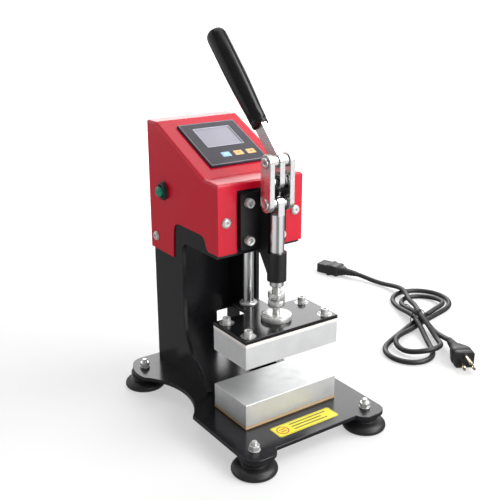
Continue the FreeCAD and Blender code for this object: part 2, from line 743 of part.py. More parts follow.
def build_clamp():
    save("clamp_body", clamp_body())
    screws = [
        socket_screw(3.0, (x, FLANGE_FRONT, z), BACK, 19.5, 5.0, 6.0, 5.0) for x, z in CLAMP_SCREWS
    ]
    nuts = []
    for x, z in CLAMP_SCREWS:
        nut = hexagon(10.0, (x, HEAD_FRONT, z), (x, HEAD_FRONT + 5.0, z))
        nuts.append(nut.cut(rod(3.05, (x, HEAD_FRONT - 1, z), (x, HEAD_FRONT + 7, z))))
    save("clamp_fasteners", *screws, *nuts)

    pivot = headed_pin(PIN_RADIUS, 5.5, EAR_SIDES[1] + 0.05, 2.85)
    pivot.translate(UP * PIVOT_Z)
    save("pivot_pin", pivot)

    save("handle_bar", handle_bar())
    save("handle_grip", handle_grip())
    crank = headed_pin(PIN_RADIUS, 5.4, LINK_OUT + 0.3, 1.4)
    crank.translate(UP * CRANK_Z)
    spacers = []
    for side in (-1, 1):
        start = (side * (BAR_HALF_X + 0.05), 0, CRANK_Z)
        end = (side * (LINK_IN - 0.2), 0, CRANK_Z)
        spacers.append(ring(6.5, PIN_RADIUS + 0.05, start, end))
    save("crank_pin", crank, *spacers)

    save("links", *both_sides(link(LINK_IN, LINK_OUT)))
    stud = rod(4.5, (LINK_IN + 0.1, 0, TONGUE_PIN_Z), (LINK_OUT, 0, TONGUE_PIN_Z))
    stud = stud.fuse(rod(6.2, (LINK_OUT, 0, TONGUE_PIN_Z), (LINK_OUT + 1.4, 0, TONGUE_PIN_Z))).removeSplitter()
    tip = LINK_OUT + 1.4
    stud = stud.cut(hexagon(4.0, (tip - 1.2, 0, TONGUE_PIN_Z), (tip + 1, 0, TONGUE_PIN_Z)))
    save("link_studs", *both_sides(stud))


# ---- plunger, spindle and upper platen ----
def plunger():
    body = rod(PLUNGER_RADIUS, (0, 0, PLUNGER_LOW), (0, 0, PLUNGER_SHOULDER))
    body = soften(body, 0.8, lambda p: p.z < PLUNGER_LOW + 0.1)
    tongue = box(-3.75, 3.75, -7, 7, PLUNGER_SHOULDER - 1, TONGUE_PIN_Z)
    eye = rod(7.0, (-3.75, 0, TONGUE_PIN_Z), (3.75, 0, TONGUE_PIN_Z))
    body = body.fuse([tongue, eye]).removeSplitter()
    body = body.cut(rod(5.0 + RUNNING, (0, 0, PLUNGER_LOW - 1), (0, 0, 174.0)))
    return body.cut(rod(4.55, (-5, 0, TONGUE_PIN_Z), (5, 0, TONGUE_PIN_Z)))


def build_plunger():
    save("plunger", plunger())
    pin = rod(4.5, (-LINK_IN + 0.3, 0, TONGUE_PIN_Z), (LINK_IN - 0.3, 0, TONGUE_PIN_Z))
    boss = rod(5.4, (4.0, 0, TONGUE_PIN_Z), (LINK_IN - 0.3, 0, TONGUE_PIN_Z))
    save("tongue_pin", pin.fuse(both_sides(boss)).removeSplitter())


HEX_LOW = 114.5
HEX_HIGH = 122.4
FLANGE_TOP = 106.0


def build_spindle():
    foot_disc = rod(7.0, (0, 0, PRESS_PLATE_HIGH + 0.1), (0, 0, 103.4))
    neck = rod(4.1, (0, 0, 103.4), (0, 0, HEX_LOW))
    grip = hexagon(17.0, (0, 0, HEX_LOW), (0, 0, HEX_HIGH))
    grip = grip.common(rod(9.4, (0, 0, HEX_LOW), (0, 0, HEX_HIGH)))
    thread = rod(5.0, (0, 0, HEX_HIGH), (0, 0, 165.0))
    save("spindle", foot_disc.fuse([neck, grip, thread]).removeSplitter())
    nut = hexagon(17.0, (0, 0, HEX_HIGH + 0.1), (0, 0, 131.0))
    nut = nut.common(rod(9.4, (0, 0, HEX_HIGH), (0, 0, 132.0)))
    save("lock_nut", nut.cut(rod(5.05, (0, 0, HEX_HIGH - 1), (0, 0, 132.0))))

    flange = rod(16.5, (0, 0, PRESS_PLATE_HIGH), (0, 0, FLANGE_TOP))
    flange = soften(flange, 0.8, lambda p: p.z > FLANGE_TOP - 0.1)
    flange = flange.cut(rod(7.3, (0, 0, 99.0), (0, 0, 103.7)))
    flange = flange.cut(rod(4.1 + RUNNING, (0, 0, 99.0), (0, 0, 110.0)))
    screws = []
    for step in range(4):
        turn = math.radians(45 + 90 * step)
        x = 11.8 * math.cos(turn)
        y = 11.8 * math.sin(turn)
        flange = flange.cut(rod(3.55, (x, y, 103.5), (x, y, 110.0)))
        flange = flange.cut(rod(2.05, (x, y, 99.0), (x, y, 110.0)))
        screws.append(socket_screw(2.0, (x, y, 103.5), (0, 0, -1), 6.5, 3.5, 2.3, 2.5))
    save("spindle_flange", flange)
    return screws


HEATER_X = 32.0
UPPER_MIDDLE = UPPER_BLOCK_LOW + BLOCK / 2
LOWER_MIDDLE = LOWER_BLOCK_LOW + BLOCK / 2


def heat_block(low, middle, bolt_low, bolt_high):
    """Aluminium block with blind holes from the rear for the heaters and the sensor."""
    half_x = PLATEN_X / 2
    half_y = PLATEN_Y / 2
    block = box(-half_x, half_x, -half_y, half_y, low, low + BLOCK)
    block = block.makeChamfer(0.5, block.Edges)
    for x in (-HEATER_X, HEATER_X):
        block = block.cut(rod(5.05, (x, -24.5, middle), (x, half_y + 1, middle)))
    block = block.cut(rod(2.05, (0, 9.5, middle), (0, half_y + 1, middle)))
    for x, y in four_corners(BOLT_X, BOLT_Y):
        block = block.cut(rod(2.55, (x, y, bolt_low), (x, y, bolt_high)))
    return block


def insulation_sheet(low):
    sheet = box(-PLATEN_X / 2, PLATEN_X / 2, -PLATEN_Y / 2, PLATEN_Y / 2, low, low + INSULATION)
    for x, y in four_corners(BOLT_X, BOLT_Y):
        sheet = sheet.cut(rod(2.6, (x, y, low - 1), (x, y, low + INSULATION + 1)))
    return sheet


def press_plate():
    half_x = PLATEN_X / 2
    half_y = PLATEN_Y / 2
    tongue_x = 16.0
    tongue_y = 66.0
    corner = 8.0
    mid = corner * (1 - math.cos(math.radians(45)))
    plate = prism_z(
        (-half_x, -half_y),
        [
            (half_x, -half_y),
            (half_x, half_y),
            (tongue_x, half_y),
            (tongue_x, tongue_y - corner),
            ((tongue_x - mid, tongue_y - mid), (tongue_x - corner, tongue_y)),
            (-tongue_x + corner, tongue_y),
            ((-tongue_x + mid, tongue_y - mid), (-tongue_x, tongue_y - corner)),
            (-tongue_x, half_y),
            (-half_x, half_y),
            (-half_x, -half_y),
        ],
        PRESS_PLATE_LOW,
        PRESS_PLATE_HIGH,
    )
    plate = soften(plate, 0.6, lambda p: abs(p.z - PRESS_PLATE_HIGH) < 0.01)
    for x, y in four_corners(BOLT_X, BOLT_Y):
        plate = plate.cut(rod(2.6, (x, y, PRESS_PLATE_LOW - 1), (x, y, PRESS_PLATE_HIGH + 1)))
    for step in range(4):
        turn = math.radians(45 + 90 * step)
        x = 11.8 * math.cos(turn)
        y = 11.8 * math.sin(turn)
        plate = plate.cut(rod(2.05, (x, y, PRESS_PLATE_LOW - 1), (x, y, PRESS_PLATE_HIGH + 1)))
    return plate.cut(rod(3.1, (0, ROD_Y, PRESS_PLATE_LOW - 1), (0, ROD_Y, PRESS_PLATE_HIGH + 1)))


def build_upper_platen(flange_screws):
    save("press_plate", press_plate())
    save("upper_insulation", insulation_sheet(UPPER_BLOCK_HIGH))
    block = heat_block(UPPER_BLOCK_LOW, UPPER_MIDDLE, UPPER_BLOCK_HIGH - 16, UPPER_BLOCK_HIGH + 1)
    save("upper_heat_block", block)
    save("upper_heaters", *heaters(UPPER_MIDDLE))
    bolts = []
    washers = []
    springs = []
    for x, y in four_corners(BOLT_X, BOLT_Y):
        top = PRESS_PLATE_HIGH
        washers.append(ring(8.2, 2.7, (x, y, top), (x, y, top + 1.0)))
        springs.append(ring(4.6, 2.6, (x, y, top + 1.0), (x, y, top + 2.3)))
        bolts.append(socket_screw(2.5, (x, y, top + 2.3), (0, 0, -1), 22.0, 4.25, 5.0, 4.0))
    guide = rod(ROD_RADIUS, (0, ROD_Y, PRESS_PLATE_HIGH), (0, ROD_Y, 236.0))
    guide = soften(guide, 1.0, lambda p: p.z > 235.9)
    guide = guide.cut(rod(3.05, (0, ROD_Y, PRESS_PLATE_HIGH - 1), (0, ROD_Y, 116.0)))
    save("guide_rod", guide)
    collar = ring(10.0, ROD_RADIUS + 0.05, (0, ROD_Y, PRESS_PLATE_HIGH), (0, ROD_Y, 102.4))
    rod_screw = socket_screw(3.0, (0, ROD_Y, PRESS_PLATE_LOW), UP, 18.0, 5.0, 6.0, 5.0)
    save("platen_fasteners", *bolts, *washers, *springs, collar, rod_screw, *flange_screws)


def heaters(middle):
    """Two cartridge heaters and the temperature sensor between them."""
    pieces = [rod(5.0, (x, -24.0, middle), (x, 33.0, middle)) for x in (-HEATER_X, HEATER_X)]
    pieces.append(rod(2.0, (0, 10.0, middle), (0, 34.0, middle)))
    return pieces


def build_lower_platen():
    save("lower_insulation", insulation_sheet(0))
    save("lower_heat_block", heat_block(LOWER_BLOCK_LOW, LOWER_MIDDLE, LOWER_BLOCK_LOW - 1, 17.0))
    save("lower_heaters", *heaters(LOWER_MIDDLE))


# ---- mains lead, loose on the floor beside the press ----
def lead_point(across, along, height):
    """Point of the lead's own frame: across, along, and above the floor."""
    x = LEAD_ORIGIN[0] + LEAD_ACROSS[0] * across + LEAD_ALONG[0] * along
    y = LEAD_ORIGIN[1] + LEAD_ACROSS[1] * across + LEAD_ALONG[1] * along
    return Vector(x, y, FLOOR + height)


# Routes of the two free stretches, as (across, along, height of the axis above the floor).
TAIL_ROUTE = [
    (-65.0, 177.3, 9.5),
    (-54.0, 169.2, 8.4),
    (-40.0, 158.0, 4.6),
    (-24.0, 143.5, 4.4),
    (-13.0, 130.5, 7.6),
    (-5.5, 117.0, 11.0),
    (-1.0, 102.0, 11.4),
]
END_ROUTE = [
    (10.5, -27.5, 9.0),
    (14.0, -40.0, 6.4),
    (18.5, -54.0, 7.2),
    (22.5, -68.0, 10.5),
    (25.0, -78.0, 12.0),
]


def lead_tube(route, name):
    """Tube along straight runs that are joined by tangent arcs."""
    points = [lead_point(*p) for p in route]
    edges = []
    here = points[0]
    for before, corner, after in zip(points, points[1:], points[2:]):
        run_in = (corner - before)
        run_out = (after - corner)
        turn = run_in.getAngle(run_out)
        shorter = min(run_in.Length, run_out.Length)
        radius = 0.45 * shorter / math.tan(turn / 2)
        print(name, "bend radius", round(radius, 1))
        start = corner - run_in.normalize() * 0.45 * shorter
        end = corner + run_out.normalize() * 0.45 * shorter
        to_middle = (start - corner).normalize() + (end - corner).normalize()
        depth = radius / math.cos(turn / 2) - radius
        middle = corner + to_middle.normalize() * depth
        edges.append(Part.LineSegment(here, start).toShape())
        edges.append(Part.Arc(start, middle, end).toShape())
        here = end
    edges.append(Part.LineSegment(here, points[-1]).toShape())
    path = Part.Wire(edges)
    section = Part.Wire(Part.makeCircle(LEAD_RADIUS, points[0], points[1] - points[0]))
    tube = path.makePipeShell([section], True, True)
    expected = math.pi * LEAD_RADIUS**2 * path.Length
    print(name, "length", round(path.Length, 1), "volume ratio", round(tube.Volume / expected, 4))
    return tube


def lying(shape):
    """Move a shape from the lead's own frame (across, along, up) to the press frame."""
    angle = math.degrees(math.atan2(LEAD_ACROSS[1], LEAD_ACROSS[0]))
    moved = shape.copy()
    moved.Placement = Placement(Vector(*LEAD_ORIGIN, FLOOR), Rotation(UP, angle)).multiply(shape.Placement)
    return moved


def oval(across, along, half_across, half_along, height, tilt):
    """Upright oval disc on the floor, in the lead's own frame."""
    disc = Part.makeCylinder(1.0, height)
    stretch = Matrix()
    stretch.scale(half_across, half_along, 1)
    disc = disc.transformGeometry(stretch)
    disc.Placement = Placement(Vector(across, along, 0), Rotation(UP, tilt))
    return disc


TIE_HALF = 18.5


def build_lead():
    upper = oval(18.0, 66.0, 48.0, 57.0, 15.0, -18)
    lower = oval(-22.0, -78.0, 36.0, 62.0, 15.0, -14)
    neck = box(-15.5, 15.5, -30.0, 24.0, 0, 22.5)
    hank = upper.fuse([lower, neck]).removeSplitter()
    band = box(-TIE_HALF, TIE_HALF, -2.5, 2.5, 0, 23.5).cut(box(-15.2, 15.2, -5, 5, 0.9, 22.2))
    tie_space = box(-TIE_HALF - 10, TIE_HALF + 10, -2.6, 2.6, -1, 30).cut(box(-15.2, 15.2, -5, 5, 0.9, 22.2))
    hank = lying(hank.cut(tie_space))
    save("lead_hank", hank)
    save("lead_tie", lying(band))
    tail = lead_tube(TAIL_ROUTE, "tail")
    end = lead_tube(END_ROUTE, "end")
    print("tail in hank", round(tail.common(hank).Volume, 2), "end in hank", round(end.common(hank).Volume, 2))
    save("lead_tail", tail)
    save("lead_end", end)
    build_connector()
    build_plug()


def aimed(shape, start, towards):
    """Turn a shape drawn along +Y from the origin so that it starts at one point and aims at another."""
    along = towards - start
    heading = math.degrees(math.atan2(along.y, along.x)) - 90
    pitch = math.degrees(math.asin(along.z / along.Length))
    moved = shape.copy()
    turn = Rotation(UP, heading).multiply(Rotation(RIGHT, pitch))
    moved.Placement = Placement(start, turn)
    return moved


def build_connector():
    """Appliance connector, drawn along +Y from the end of its strain relief to its open face."""
    relief = cone(LEAD_RADIUS + 0.6, 6.3, (0, 0, 0), (0, 26.0, 0))
    body = rounded_box(-13.5, 13.5, 26.0, 68.0, -9.4, 9.4, 2.5, BACK)
    nose = rounded_box(-11.6, 11.6, 52.0, 69.0, -7.8, 7.8, 1.5, BACK)
    grip = body.cut(rounded_box(-30, 30, 50.0, 90.0, -30, 30, 1.0, UP)).fuse(nose).removeSplitter()
    for x, z in ((-7.0, -2.0), (7.0, -2.0), (0, 2.0)):
        grip = grip.cut(box(x - 1.3, x + 1.3, 53.0, 70.0, z - 2.3, z + 2.3))
    shape = relief.fuse(grip).removeSplitter()
    start = lead_point(*TAIL_ROUTE[0])
    towards = lead_point(-119.0, 216.8, 9.5)
    save("lead_connector", aimed(shape, start, towards))


def build_plug():
    """Three-blade mains plug, drawn along +Y from the end of its strain relief."""
    relief = cone(LEAD_RADIUS + 0.6, 6.4, (0, 0, 0), (0, 24.0, 0))
    body = rounded_box(-12.5, 12.5, 24.0, 58.0, -11.0, 11.0, 4.0, BACK)
    blades = []
    for x in (-6.35, 6.35):
        blades.append(box(x - 0.75, x + 0.75, 50.0, 76.0, -6.0, 0.3))
    blades.append(rod(2.4, (0, 50.0, 5.6), (0, 79.0, 5.6)))
    for blade in blades:
        body = body.cut(blade)
    start = lead_point(*END_ROUTE[-1])
    towards = lead_point(33.5, -157.0, 11.4)
    save("lead_plug", aimed(relief.fuse(body).removeSplitter(), start, towards))
    save("plug_blades", *[aimed(blade, start, towards) for blade in blades])


os.makedirs("parts", exist_ok=True)
build_base()
build_frame()
build_housing()
build_controller()
build_push_button()
build_inlet()
build_electrics()
build_clamp()
build_plunger()
flange_screws = build_spindle()
build_upper_platen(flange_screws)
build_lower_platen()
build_lead()
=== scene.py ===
"""Heat press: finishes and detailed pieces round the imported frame, and the studio that it stands in."""

import json
import math

import bmesh
import bpy
from mathutils import Matrix, Vector


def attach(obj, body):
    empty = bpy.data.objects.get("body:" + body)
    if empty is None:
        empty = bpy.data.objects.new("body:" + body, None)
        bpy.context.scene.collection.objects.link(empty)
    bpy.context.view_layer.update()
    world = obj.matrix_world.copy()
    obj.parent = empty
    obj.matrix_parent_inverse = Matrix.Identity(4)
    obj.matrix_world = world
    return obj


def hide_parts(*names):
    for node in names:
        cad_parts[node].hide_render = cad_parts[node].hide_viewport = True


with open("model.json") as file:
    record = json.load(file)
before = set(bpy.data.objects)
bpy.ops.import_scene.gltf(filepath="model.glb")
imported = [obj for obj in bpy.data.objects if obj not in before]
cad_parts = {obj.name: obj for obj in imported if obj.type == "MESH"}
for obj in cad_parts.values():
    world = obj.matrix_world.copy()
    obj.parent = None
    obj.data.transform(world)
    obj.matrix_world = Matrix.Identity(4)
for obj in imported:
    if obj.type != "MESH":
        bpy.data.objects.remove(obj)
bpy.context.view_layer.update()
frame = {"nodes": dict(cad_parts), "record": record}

MM = 0.001
PRESS_AXIS_Y = -47.0
BASE_TOP = 23.5
UP = Vector((0, 0, 1))


def at(x, y, z):
    """Point of the press frame in millimetres, as a point of the row frame in metres."""
    return Vector((x, y + PRESS_AXIS_Y, z + BASE_TOP)) * MM


# ---- materials ----
SOCKETS = {"specular_ior_level": "Specular IOR Level"}


class Look:
    """A procedural material: one shader, and short calls for the patterns that feed it."""

    def __init__(self, name, colour, roughness, **values):
        self.material = bpy.data.materials.new(name)
        self.material.use_nodes = True
        self.tree = self.material.node_tree
        self.shader = self.tree.nodes["Principled BSDF"]
        self.colour = (*colour, 1.0)
        self.shader.inputs["Base Color"].default_value = self.colour
        self.shader.inputs["Roughness"].default_value = roughness
        self.roughness = roughness
        for socket, value in values.items():
            self.shader.inputs[SOCKETS.get(socket, socket.replace("_", " ").title())].default_value = value
        self.coords = self.node("ShaderNodeTexCoord").outputs["Object"]
        self.normal = None

    def node(self, kind, **settings):
        made = self.tree.nodes.new(kind)
        for name, value in settings.items():
            setattr(made, name, value)
        return made

    def link(self, source, target):
        self.tree.links.new(source, target)

    def stretched(self, stretch):
        """Object coordinates scaled along each axis."""
        mapping = self.node("ShaderNodeMapping")
        mapping.inputs["Scale"].default_value = stretch
        self.link(self.coords, mapping.inputs["Vector"])
        return mapping.outputs["Vector"]

    def noise(self, scale, detail=3.0, stretch=(1, 1, 1)):
        texture = self.node("ShaderNodeTexNoise")
        texture.inputs["Scale"].default_value = scale
        texture.inputs["Detail"].default_value = detail
        self.link(self.stretched(stretch), texture.inputs["Vector"])
        return texture.outputs["Fac"]

    def spread(self, source, low, high, from_low=0.3, from_high=0.7):
        scaled = self.node("ShaderNodeMapRange")
        scaled.inputs["From Min"].default_value = from_low
        scaled.inputs["From Max"].default_value = from_high
        scaled.inputs["To Min"].default_value = low
        scaled.inputs["To Max"].default_value = high
        self.link(source, scaled.inputs["Value"])
        return scaled.outputs["Result"]

    def tint(self, source, other, amount=1.0):
        """Mixes another colour in where the pattern is high."""
        mix = self.node("ShaderNodeMix", data_type="RGBA")
        mix.inputs[6].default_value = self.colour
        mix.inputs[7].default_value = (*other, 1.0)
        existing = self.shader.inputs["Base Color"].links
        if existing:
            self.link(existing[0].from_socket, mix.inputs[6])
        self.link(self.spread(source, 0.0, amount), mix.inputs[0])
        self.link(mix.outputs[2], self.shader.inputs["Base Color"])
        return self

    def gloss(self, source, amount):
        """Lets the roughness drift by the amount either way."""
        drift = self.spread(source, self.roughness - amount, self.roughness + amount)
        self.link(drift, self.shader.inputs["Roughness"])
        return self

    def bump(self, source, depth, strength=1.0):
        """Small relief of the surface. depth is in millimetres."""
        bump = self.node("ShaderNodeBump")
        bump.inputs["Distance"].default_value = depth * MM
        bump.inputs["Strength"].default_value = strength
        self.link(source, bump.inputs["Height"])
        if self.normal:
            self.link(self.normal, bump.inputs["Normal"])
        self.normal = bump.outputs["Normal"]
        self.link(self.normal, self.shader.inputs["Normal"])
        return self

    def worn_edges(self, other, low, high):
        """Shows another colour along sharp convex edges."""
        geometry = self.node("ShaderNodeNewGeometry")
        edge = self.spread(geometry.outputs["Pointiness"], 0.0, 1.0, low, high)
        broken = self.node("ShaderNodeMath", operation="MULTIPLY")
        self.link(edge, broken.inputs[0])
        self.link(self.spread(self.noise(260.0), 0.0, 1.0), broken.inputs[1])
        return self.tint(broken.outputs["Value"], other, 0.6)


def powder_coat(name, colour, lighter, roughness, grain):
    look = Look(name, colour, roughness, specular_ior_level=0.4)
    look.tint(look.noise(38.0), lighter, 0.25)
    look.gloss(look.noise(22.0), 0.04)
    look.bump(look.noise(420.0, 2.0), grain)
    return look.bump(look.noise(1900.0, 1.0), grain * 0.25)


def bright_metal(name, colour, roughness, stretch=(1, 1, 1), depth=0.004, metallic=1.0):
    look = Look(name, colour, roughness, metallic=metallic)
    look.tint(look.noise(60.0), tuple(c * 0.86 for c in colour), 0.6)
    look.gloss(look.noise(140.0, 4.0, stretch), 0.05)
    return look.bump(look.noise(900.0, 3.0, stretch), depth)


def moulded(name, colour, roughness, grain=0.02, scale=1400.0, blotch=0.4, drift=0.05, **values):
    look = Look(name, colour, roughness, **values)
    look.tint(look.noise(70.0), tuple(min(1.0, c * 1.25 + 0.004) for c in colour), blotch)
    look.gloss(look.noise(50.0), drift)
    return look.bump(look.noise(scale, 2.0), grain)


looks = {}
looks["frame_black"] = powder_coat("frame_black", (0.010, 0.010, 0.012), (0.018, 0.018, 0.021), 0.2, 0.012)
looks["clamp_black"] = powder_coat("clamp_black", (0.009, 0.009, 0.010), (0.016, 0.016, 0.018), 0.32, 0.02)
looks["press_plate_black"] = powder_coat(
    "press_plate_black", (0.008, 0.008, 0.009), (0.015, 0.015, 0.017), 0.16, 0.01)
looks["housing_red"] = powder_coat("housing_red", (0.60, 0.002, 0.022), (0.64, 0.004, 0.028), 0.22, 0.005)
looks["platen_aluminium"] = bright_metal("platen_aluminium", (0.70, 0.705, 0.71), 0.45, (1, 1, 1), 0.01, 0.4)
looks["insulation_board"] = moulded("insulation_board", (0.62, 0.44, 0.25), 0.8, 0.08, 900.0)
# board_pale: the upper insulation is coloured pale, not the lower board's tan, to stand for the light line
# along the upper block's top edge: a painted highlight
looks["board_pale"] = moulded("board_pale", (0.76, 0.71, 0.68), 0.7, 0.05, 900.0)
looks["zinc_steel"] = bright_metal("zinc_steel", (0.72, 0.72, 0.71), 0.3, metallic=0.5)
looks["bright_steel"] = bright_metal("bright_steel", (0.74, 0.74, 0.74), 0.26, (8, 1, 1), 0.002)
looks["chrome_bar"] = bright_metal("chrome_bar", (0.76, 0.76, 0.77), 0.22, (1, 1, 0.1), 0.0)
looks["spindle_steel"] = bright_metal("spindle_steel", (0.72, 0.72, 0.70), 0.28, (1, 1, 12), 0.003, 0.75)
looks["bush_brass"] = bright_metal("bush_brass", (0.72, 0.52, 0.24), 0.3)
looks["heater_steel"] = bright_metal("heater_steel", (0.55, 0.54, 0.52), 0.35)
looks["grip_black"] = moulded("grip_black", (0.006, 0.006, 0.007), 0.2, 0.01, 300.0, specular_ior_level=0.3)
looks["foot_rubber"] = moulded("foot_rubber", (0.016, 0.016, 0.017), 0.42, 0.03, 700.0)
looks["bezel_slate"] = moulded("bezel_slate", (0.034, 0.030, 0.044), 0.46, 0.03, 1800.0,
                               specular_ior_level=0.4)
looks["display"] = moulded("display", (0.34, 0.33, 0.39), 0.4, 0.0, 200.0, blotch=0.0, drift=0.0)
looks["board_green"] = moulded("board_green", (0.02, 0.18, 0.08), 0.4)
looks["black_plastic"] = moulded("black_plastic", (0.014, 0.014, 0.015), 0.38)
looks["key_blue"] = moulded("key_blue", (0.33, 0.62, 0.85), 0.4)
looks["key_orange"] = moulded("key_orange", (0.86, 0.50, 0.20), 0.4)
looks["button_green"] = moulded("button_green", (0.0, 0.22, 0.13), 0.18, 0.004, 300.0, coat_weight=0.4,
                                coat_roughness=0.05)
looks["pin_brass"] = bright_metal("pin_brass", (0.78, 0.68, 0.50), 0.22)
looks["label_yellow"] = moulded("label_yellow", (0.92, 0.78, 0.04), 0.35, 0.004, 300.0)
# Light grey of the bezel rim: a painted highlight along the bezel's edge
looks["rim_painted_highlight"] = moulded("rim_painted_highlight", (0.30, 0.31, 0.34), 0.3, 0.002, 300.0)
looks["display_border"] = moulded("display_border", (0.52, 0.52, 0.60), 0.3, 0.002, 300.0)
looks["mark_blue"] = moulded("mark_blue", (0.72, 0.84, 0.92), 0.4, 0.002, 300.0)
looks["mark_brown"] = moulded("mark_brown", (0.50, 0.25, 0.10), 0.4, 0.002, 300.0)
looks["ink_red"] = moulded("ink_red", (0.55, 0.03, 0.02), 0.4, 0.002, 300.0)
looks["ink_grey"] = moulded("ink_grey", (0.10, 0.09, 0.03), 0.4, 0.002, 300.0)
looks["lead_black"] = moulded("lead_black", (0.020, 0.020, 0.022), 0.4, 0.02, 900.0)

for entry in frame["record"]["subparts"]:
    node = frame["nodes"][entry["node"]]
    node.data.materials.clear()
    node.data.materials.append(looks[entry["material_slot"]].material)


# ---- mesh helpers ----
def finished(name, bm, body, slot, nodes=(), sharp=35.0, look=None):
    """Makes an object of the mesh, shades it, gives it its finish and lets it ride on its body."""
    bmesh.ops.recalc_face_normals(bm, faces=bm.faces)
    mesh = bpy.data.meshes.new(name)
    bm.to_mesh(mesh)
    bm.free()
    mesh.shade_smooth()
    mesh.set_sharp_from_angle(angle=math.radians(sharp))
    mesh.materials.append(looks[look or slot].material)
    piece = bpy.data.objects.new(name, mesh)
    bpy.context.scene.collection.objects.link(piece)
    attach(piece, body)
    if nodes:
        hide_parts(*nodes)
    return piece


def placed(start, towards):
    """Matrix that takes a shape drawn along +Z from the origin to start, pointing along towards."""
    turn = Vector(towards).to_track_quat("Z", "Y").to_matrix().to_4x4()
    return Matrix.Translation(start) @ turn


def skin(bm, rings, matrix, closed=False):
    """Joins rings of points with faces. Open ends get a fan of faces; closed rings join last to first."""
    grid = [[bm.verts.new(matrix @ Vector(point)) for point in ring] for ring in rings]
    count = len(grid[0])
    pairs = list(zip(grid, grid[1:]))
    if closed:
        pairs.append((grid[-1], grid[0]))
    for low, high in pairs:
        for i in range(count):
            j = (i + 1) % count
            bm.faces.new((low[i], low[j], high[j], high[i]))
    if not closed:
        for ring in (grid[0], grid[-1]):
            middle = bm.verts.new(sum((v.co for v in ring), Vector()) / count)
            for i in range(count):
                bm.faces.new((ring[i], ring[(i + 1) % count], middle))


def round_ring(radius, height, count=48):
    return [(radius * math.cos(2 * math.pi * i / count), radius * math.sin(2 * math.pi * i / count), height)
            for i in range(count)]


def hex_ring(flats, height, limit=1e9, count=48):
    """Ring round a hexagon, no further out than the limit, as at a chamfered corner."""
    points = []
    for i in range(count):
        angle = 2 * math.pi * i / count
        from_flat = (angle + math.pi / 6) % (math.pi / 3) - math.pi / 6
        radius = min(flats / 2 / math.cos(from_flat), limit)
        points.append((radius * math.cos(angle), radius * math.sin(angle), height))
    return points


def knurled_ring(radius, depth, height, count=48):
    points = []
    for i in range(count):
        angle = 2 * math.pi * i / count
        reach = radius - (depth if i % 2 else 0.0)
        points.append((reach * math.cos(angle), reach * math.sin(angle), height))
    return points


def thread_rings(radius, depth, pitch, low, high, count=48):
    """Rings of a helical thread from one height to another."""
    rings = []
    steps = max(2, round((high - low) / pitch * 6))
    for step in range(steps + 1):
        height = low + (high - low) * step / steps
        ring = []
        fade = min(1.0, (height - low) / pitch, (high - height) / pitch)
        for i in range(count):
            turn = (height / pitch - i / count) % 1.0
            reach = radius - depth * fade * abs(2 * turn - 1)
            angle = 2 * math.pi * i / count
            ring.append((reach * math.cos(angle), reach * math.sin(angle), height))
        rings.append(ring)
    return rings


def scaled(rings):
    return [[(x * MM, y * MM, z * MM) for x, y, z in ring] for ring in rings]


def lathe(bm, profile, matrix, count=64):
    """Turned shape. The profile lists (radius, height) in millimetres."""
    skin(bm, scaled([round_ring(radius, height, count) for radius, height in profile]), matrix)


def nut(bm, flats, bore, thick, matrix):
    corner = flats / math.sqrt(3)
    chamfer = thick * 0.12
    rings = [
        round_ring(bore, 0.4), round_ring(bore + 0.4, 0.0),
        hex_ring(flats, 0.0, flats / 2 * 0.97), hex_ring(flats, chamfer, corner),
        hex_ring(flats, thick - chamfer, corner), hex_ring(flats, thick, flats / 2 * 0.97),
        round_ring(bore + 0.4, thick), round_ring(bore, thick - 0.4),
    ]
    skin(bm, scaled(rings), matrix, closed=True)


def washer(bm, outer, bore, thick, matrix):
    edge = min(0.2, thick * 0.3)
    rings = [
        round_ring(bore, 0.0), round_ring(outer - edge, 0.0), round_ring(outer, edge),
        round_ring(outer, thick - edge), round_ring(outer - edge, thick), round_ring(bore, thick),
    ]
    skin(bm, scaled(rings), matrix, closed=True)


def spring_washer(bm, outer, bore, thick, matrix):
    """Split ring that rises by half its thickness over its turn."""
    sections = []
    steps = 40
    for step in range(steps + 1):
        angle = math.radians(8 + 344 * step / steps)
        rise = 0.25 * thick * step / steps
        sections.append([
            (r * math.cos(angle), r * math.sin(angle), z + rise)
            for r, z in ((bore, 0.0), (outer, 0.0), (outer, 0.75 * thick), (bore, 0.75 * thick))
        ])
    skin(bm, scaled(sections), matrix)


def socket_head(bm, radius, thick, key, shank, length, matrix):
    """Socket head cap screw: the head stands up from the origin, and the shank goes down."""
    rings = [
        round_ring(0.3, -length), round_ring(shank * 0.8, -length),
        round_ring(shank, -length + 0.6), round_ring(shank, -0.3), round_ring(shank + 0.3, 0.0),
        round_ring(radius * 0.96, 0.0), knurled_ring(radius, 0.04 * radius, 0.06 * thick),
        knurled_ring(radius, 0.04 * radius, 0.84 * thick), round_ring(radius * 0.93, thick),
        round_ring(key * 0.66, thick), hex_ring(key, thick - 0.3), hex_ring(key, 0.45 * thick),
        round_ring(key * 0.2, 0.36 * thick),
    ]
    skin(bm, scaled(rings), matrix)


def button_head(bm, radius, thick, key, shank, length, matrix):
    """Low domed head over a shank."""
    rings = [round_ring(0.3, -length), round_ring(shank, -length + 0.4), round_ring(shank, 0.0),
             round_ring(radius - 0.1, 0.0), round_ring(radius, 0.15)]
    for step in range(1, 7):
        share = step / 6
        rings.append(round_ring(radius * (1 - 0.38 * share**2), 0.15 + (thick - 0.15) * share**0.7))
    rings += [round_ring(key * 0.66, thick), hex_ring(key, thick - 0.25), hex_ring(key, 0.4 * thick),
              round_ring(key * 0.2, 0.32 * thick)]
    skin(bm, scaled(rings), matrix)


def rounded_outline(half_w, half_h, radius, middle=(0.0, 0.0), corner_steps=5):
    """Points round a rectangle with rounded corners."""
    points = []
    for quarter, (sx, sy) in enumerate(((1, 1), (-1, 1), (-1, -1), (1, -1))):
        for step in range(corner_steps + 1):
            angle = math.pi / 2 * (quarter + step / corner_steps)
            points.append((middle[0] + sx * (half_w - radius) + radius * math.cos(angle),
                           middle[1] + sy * (half_h - radius) + radius * math.sin(angle)))
    return points


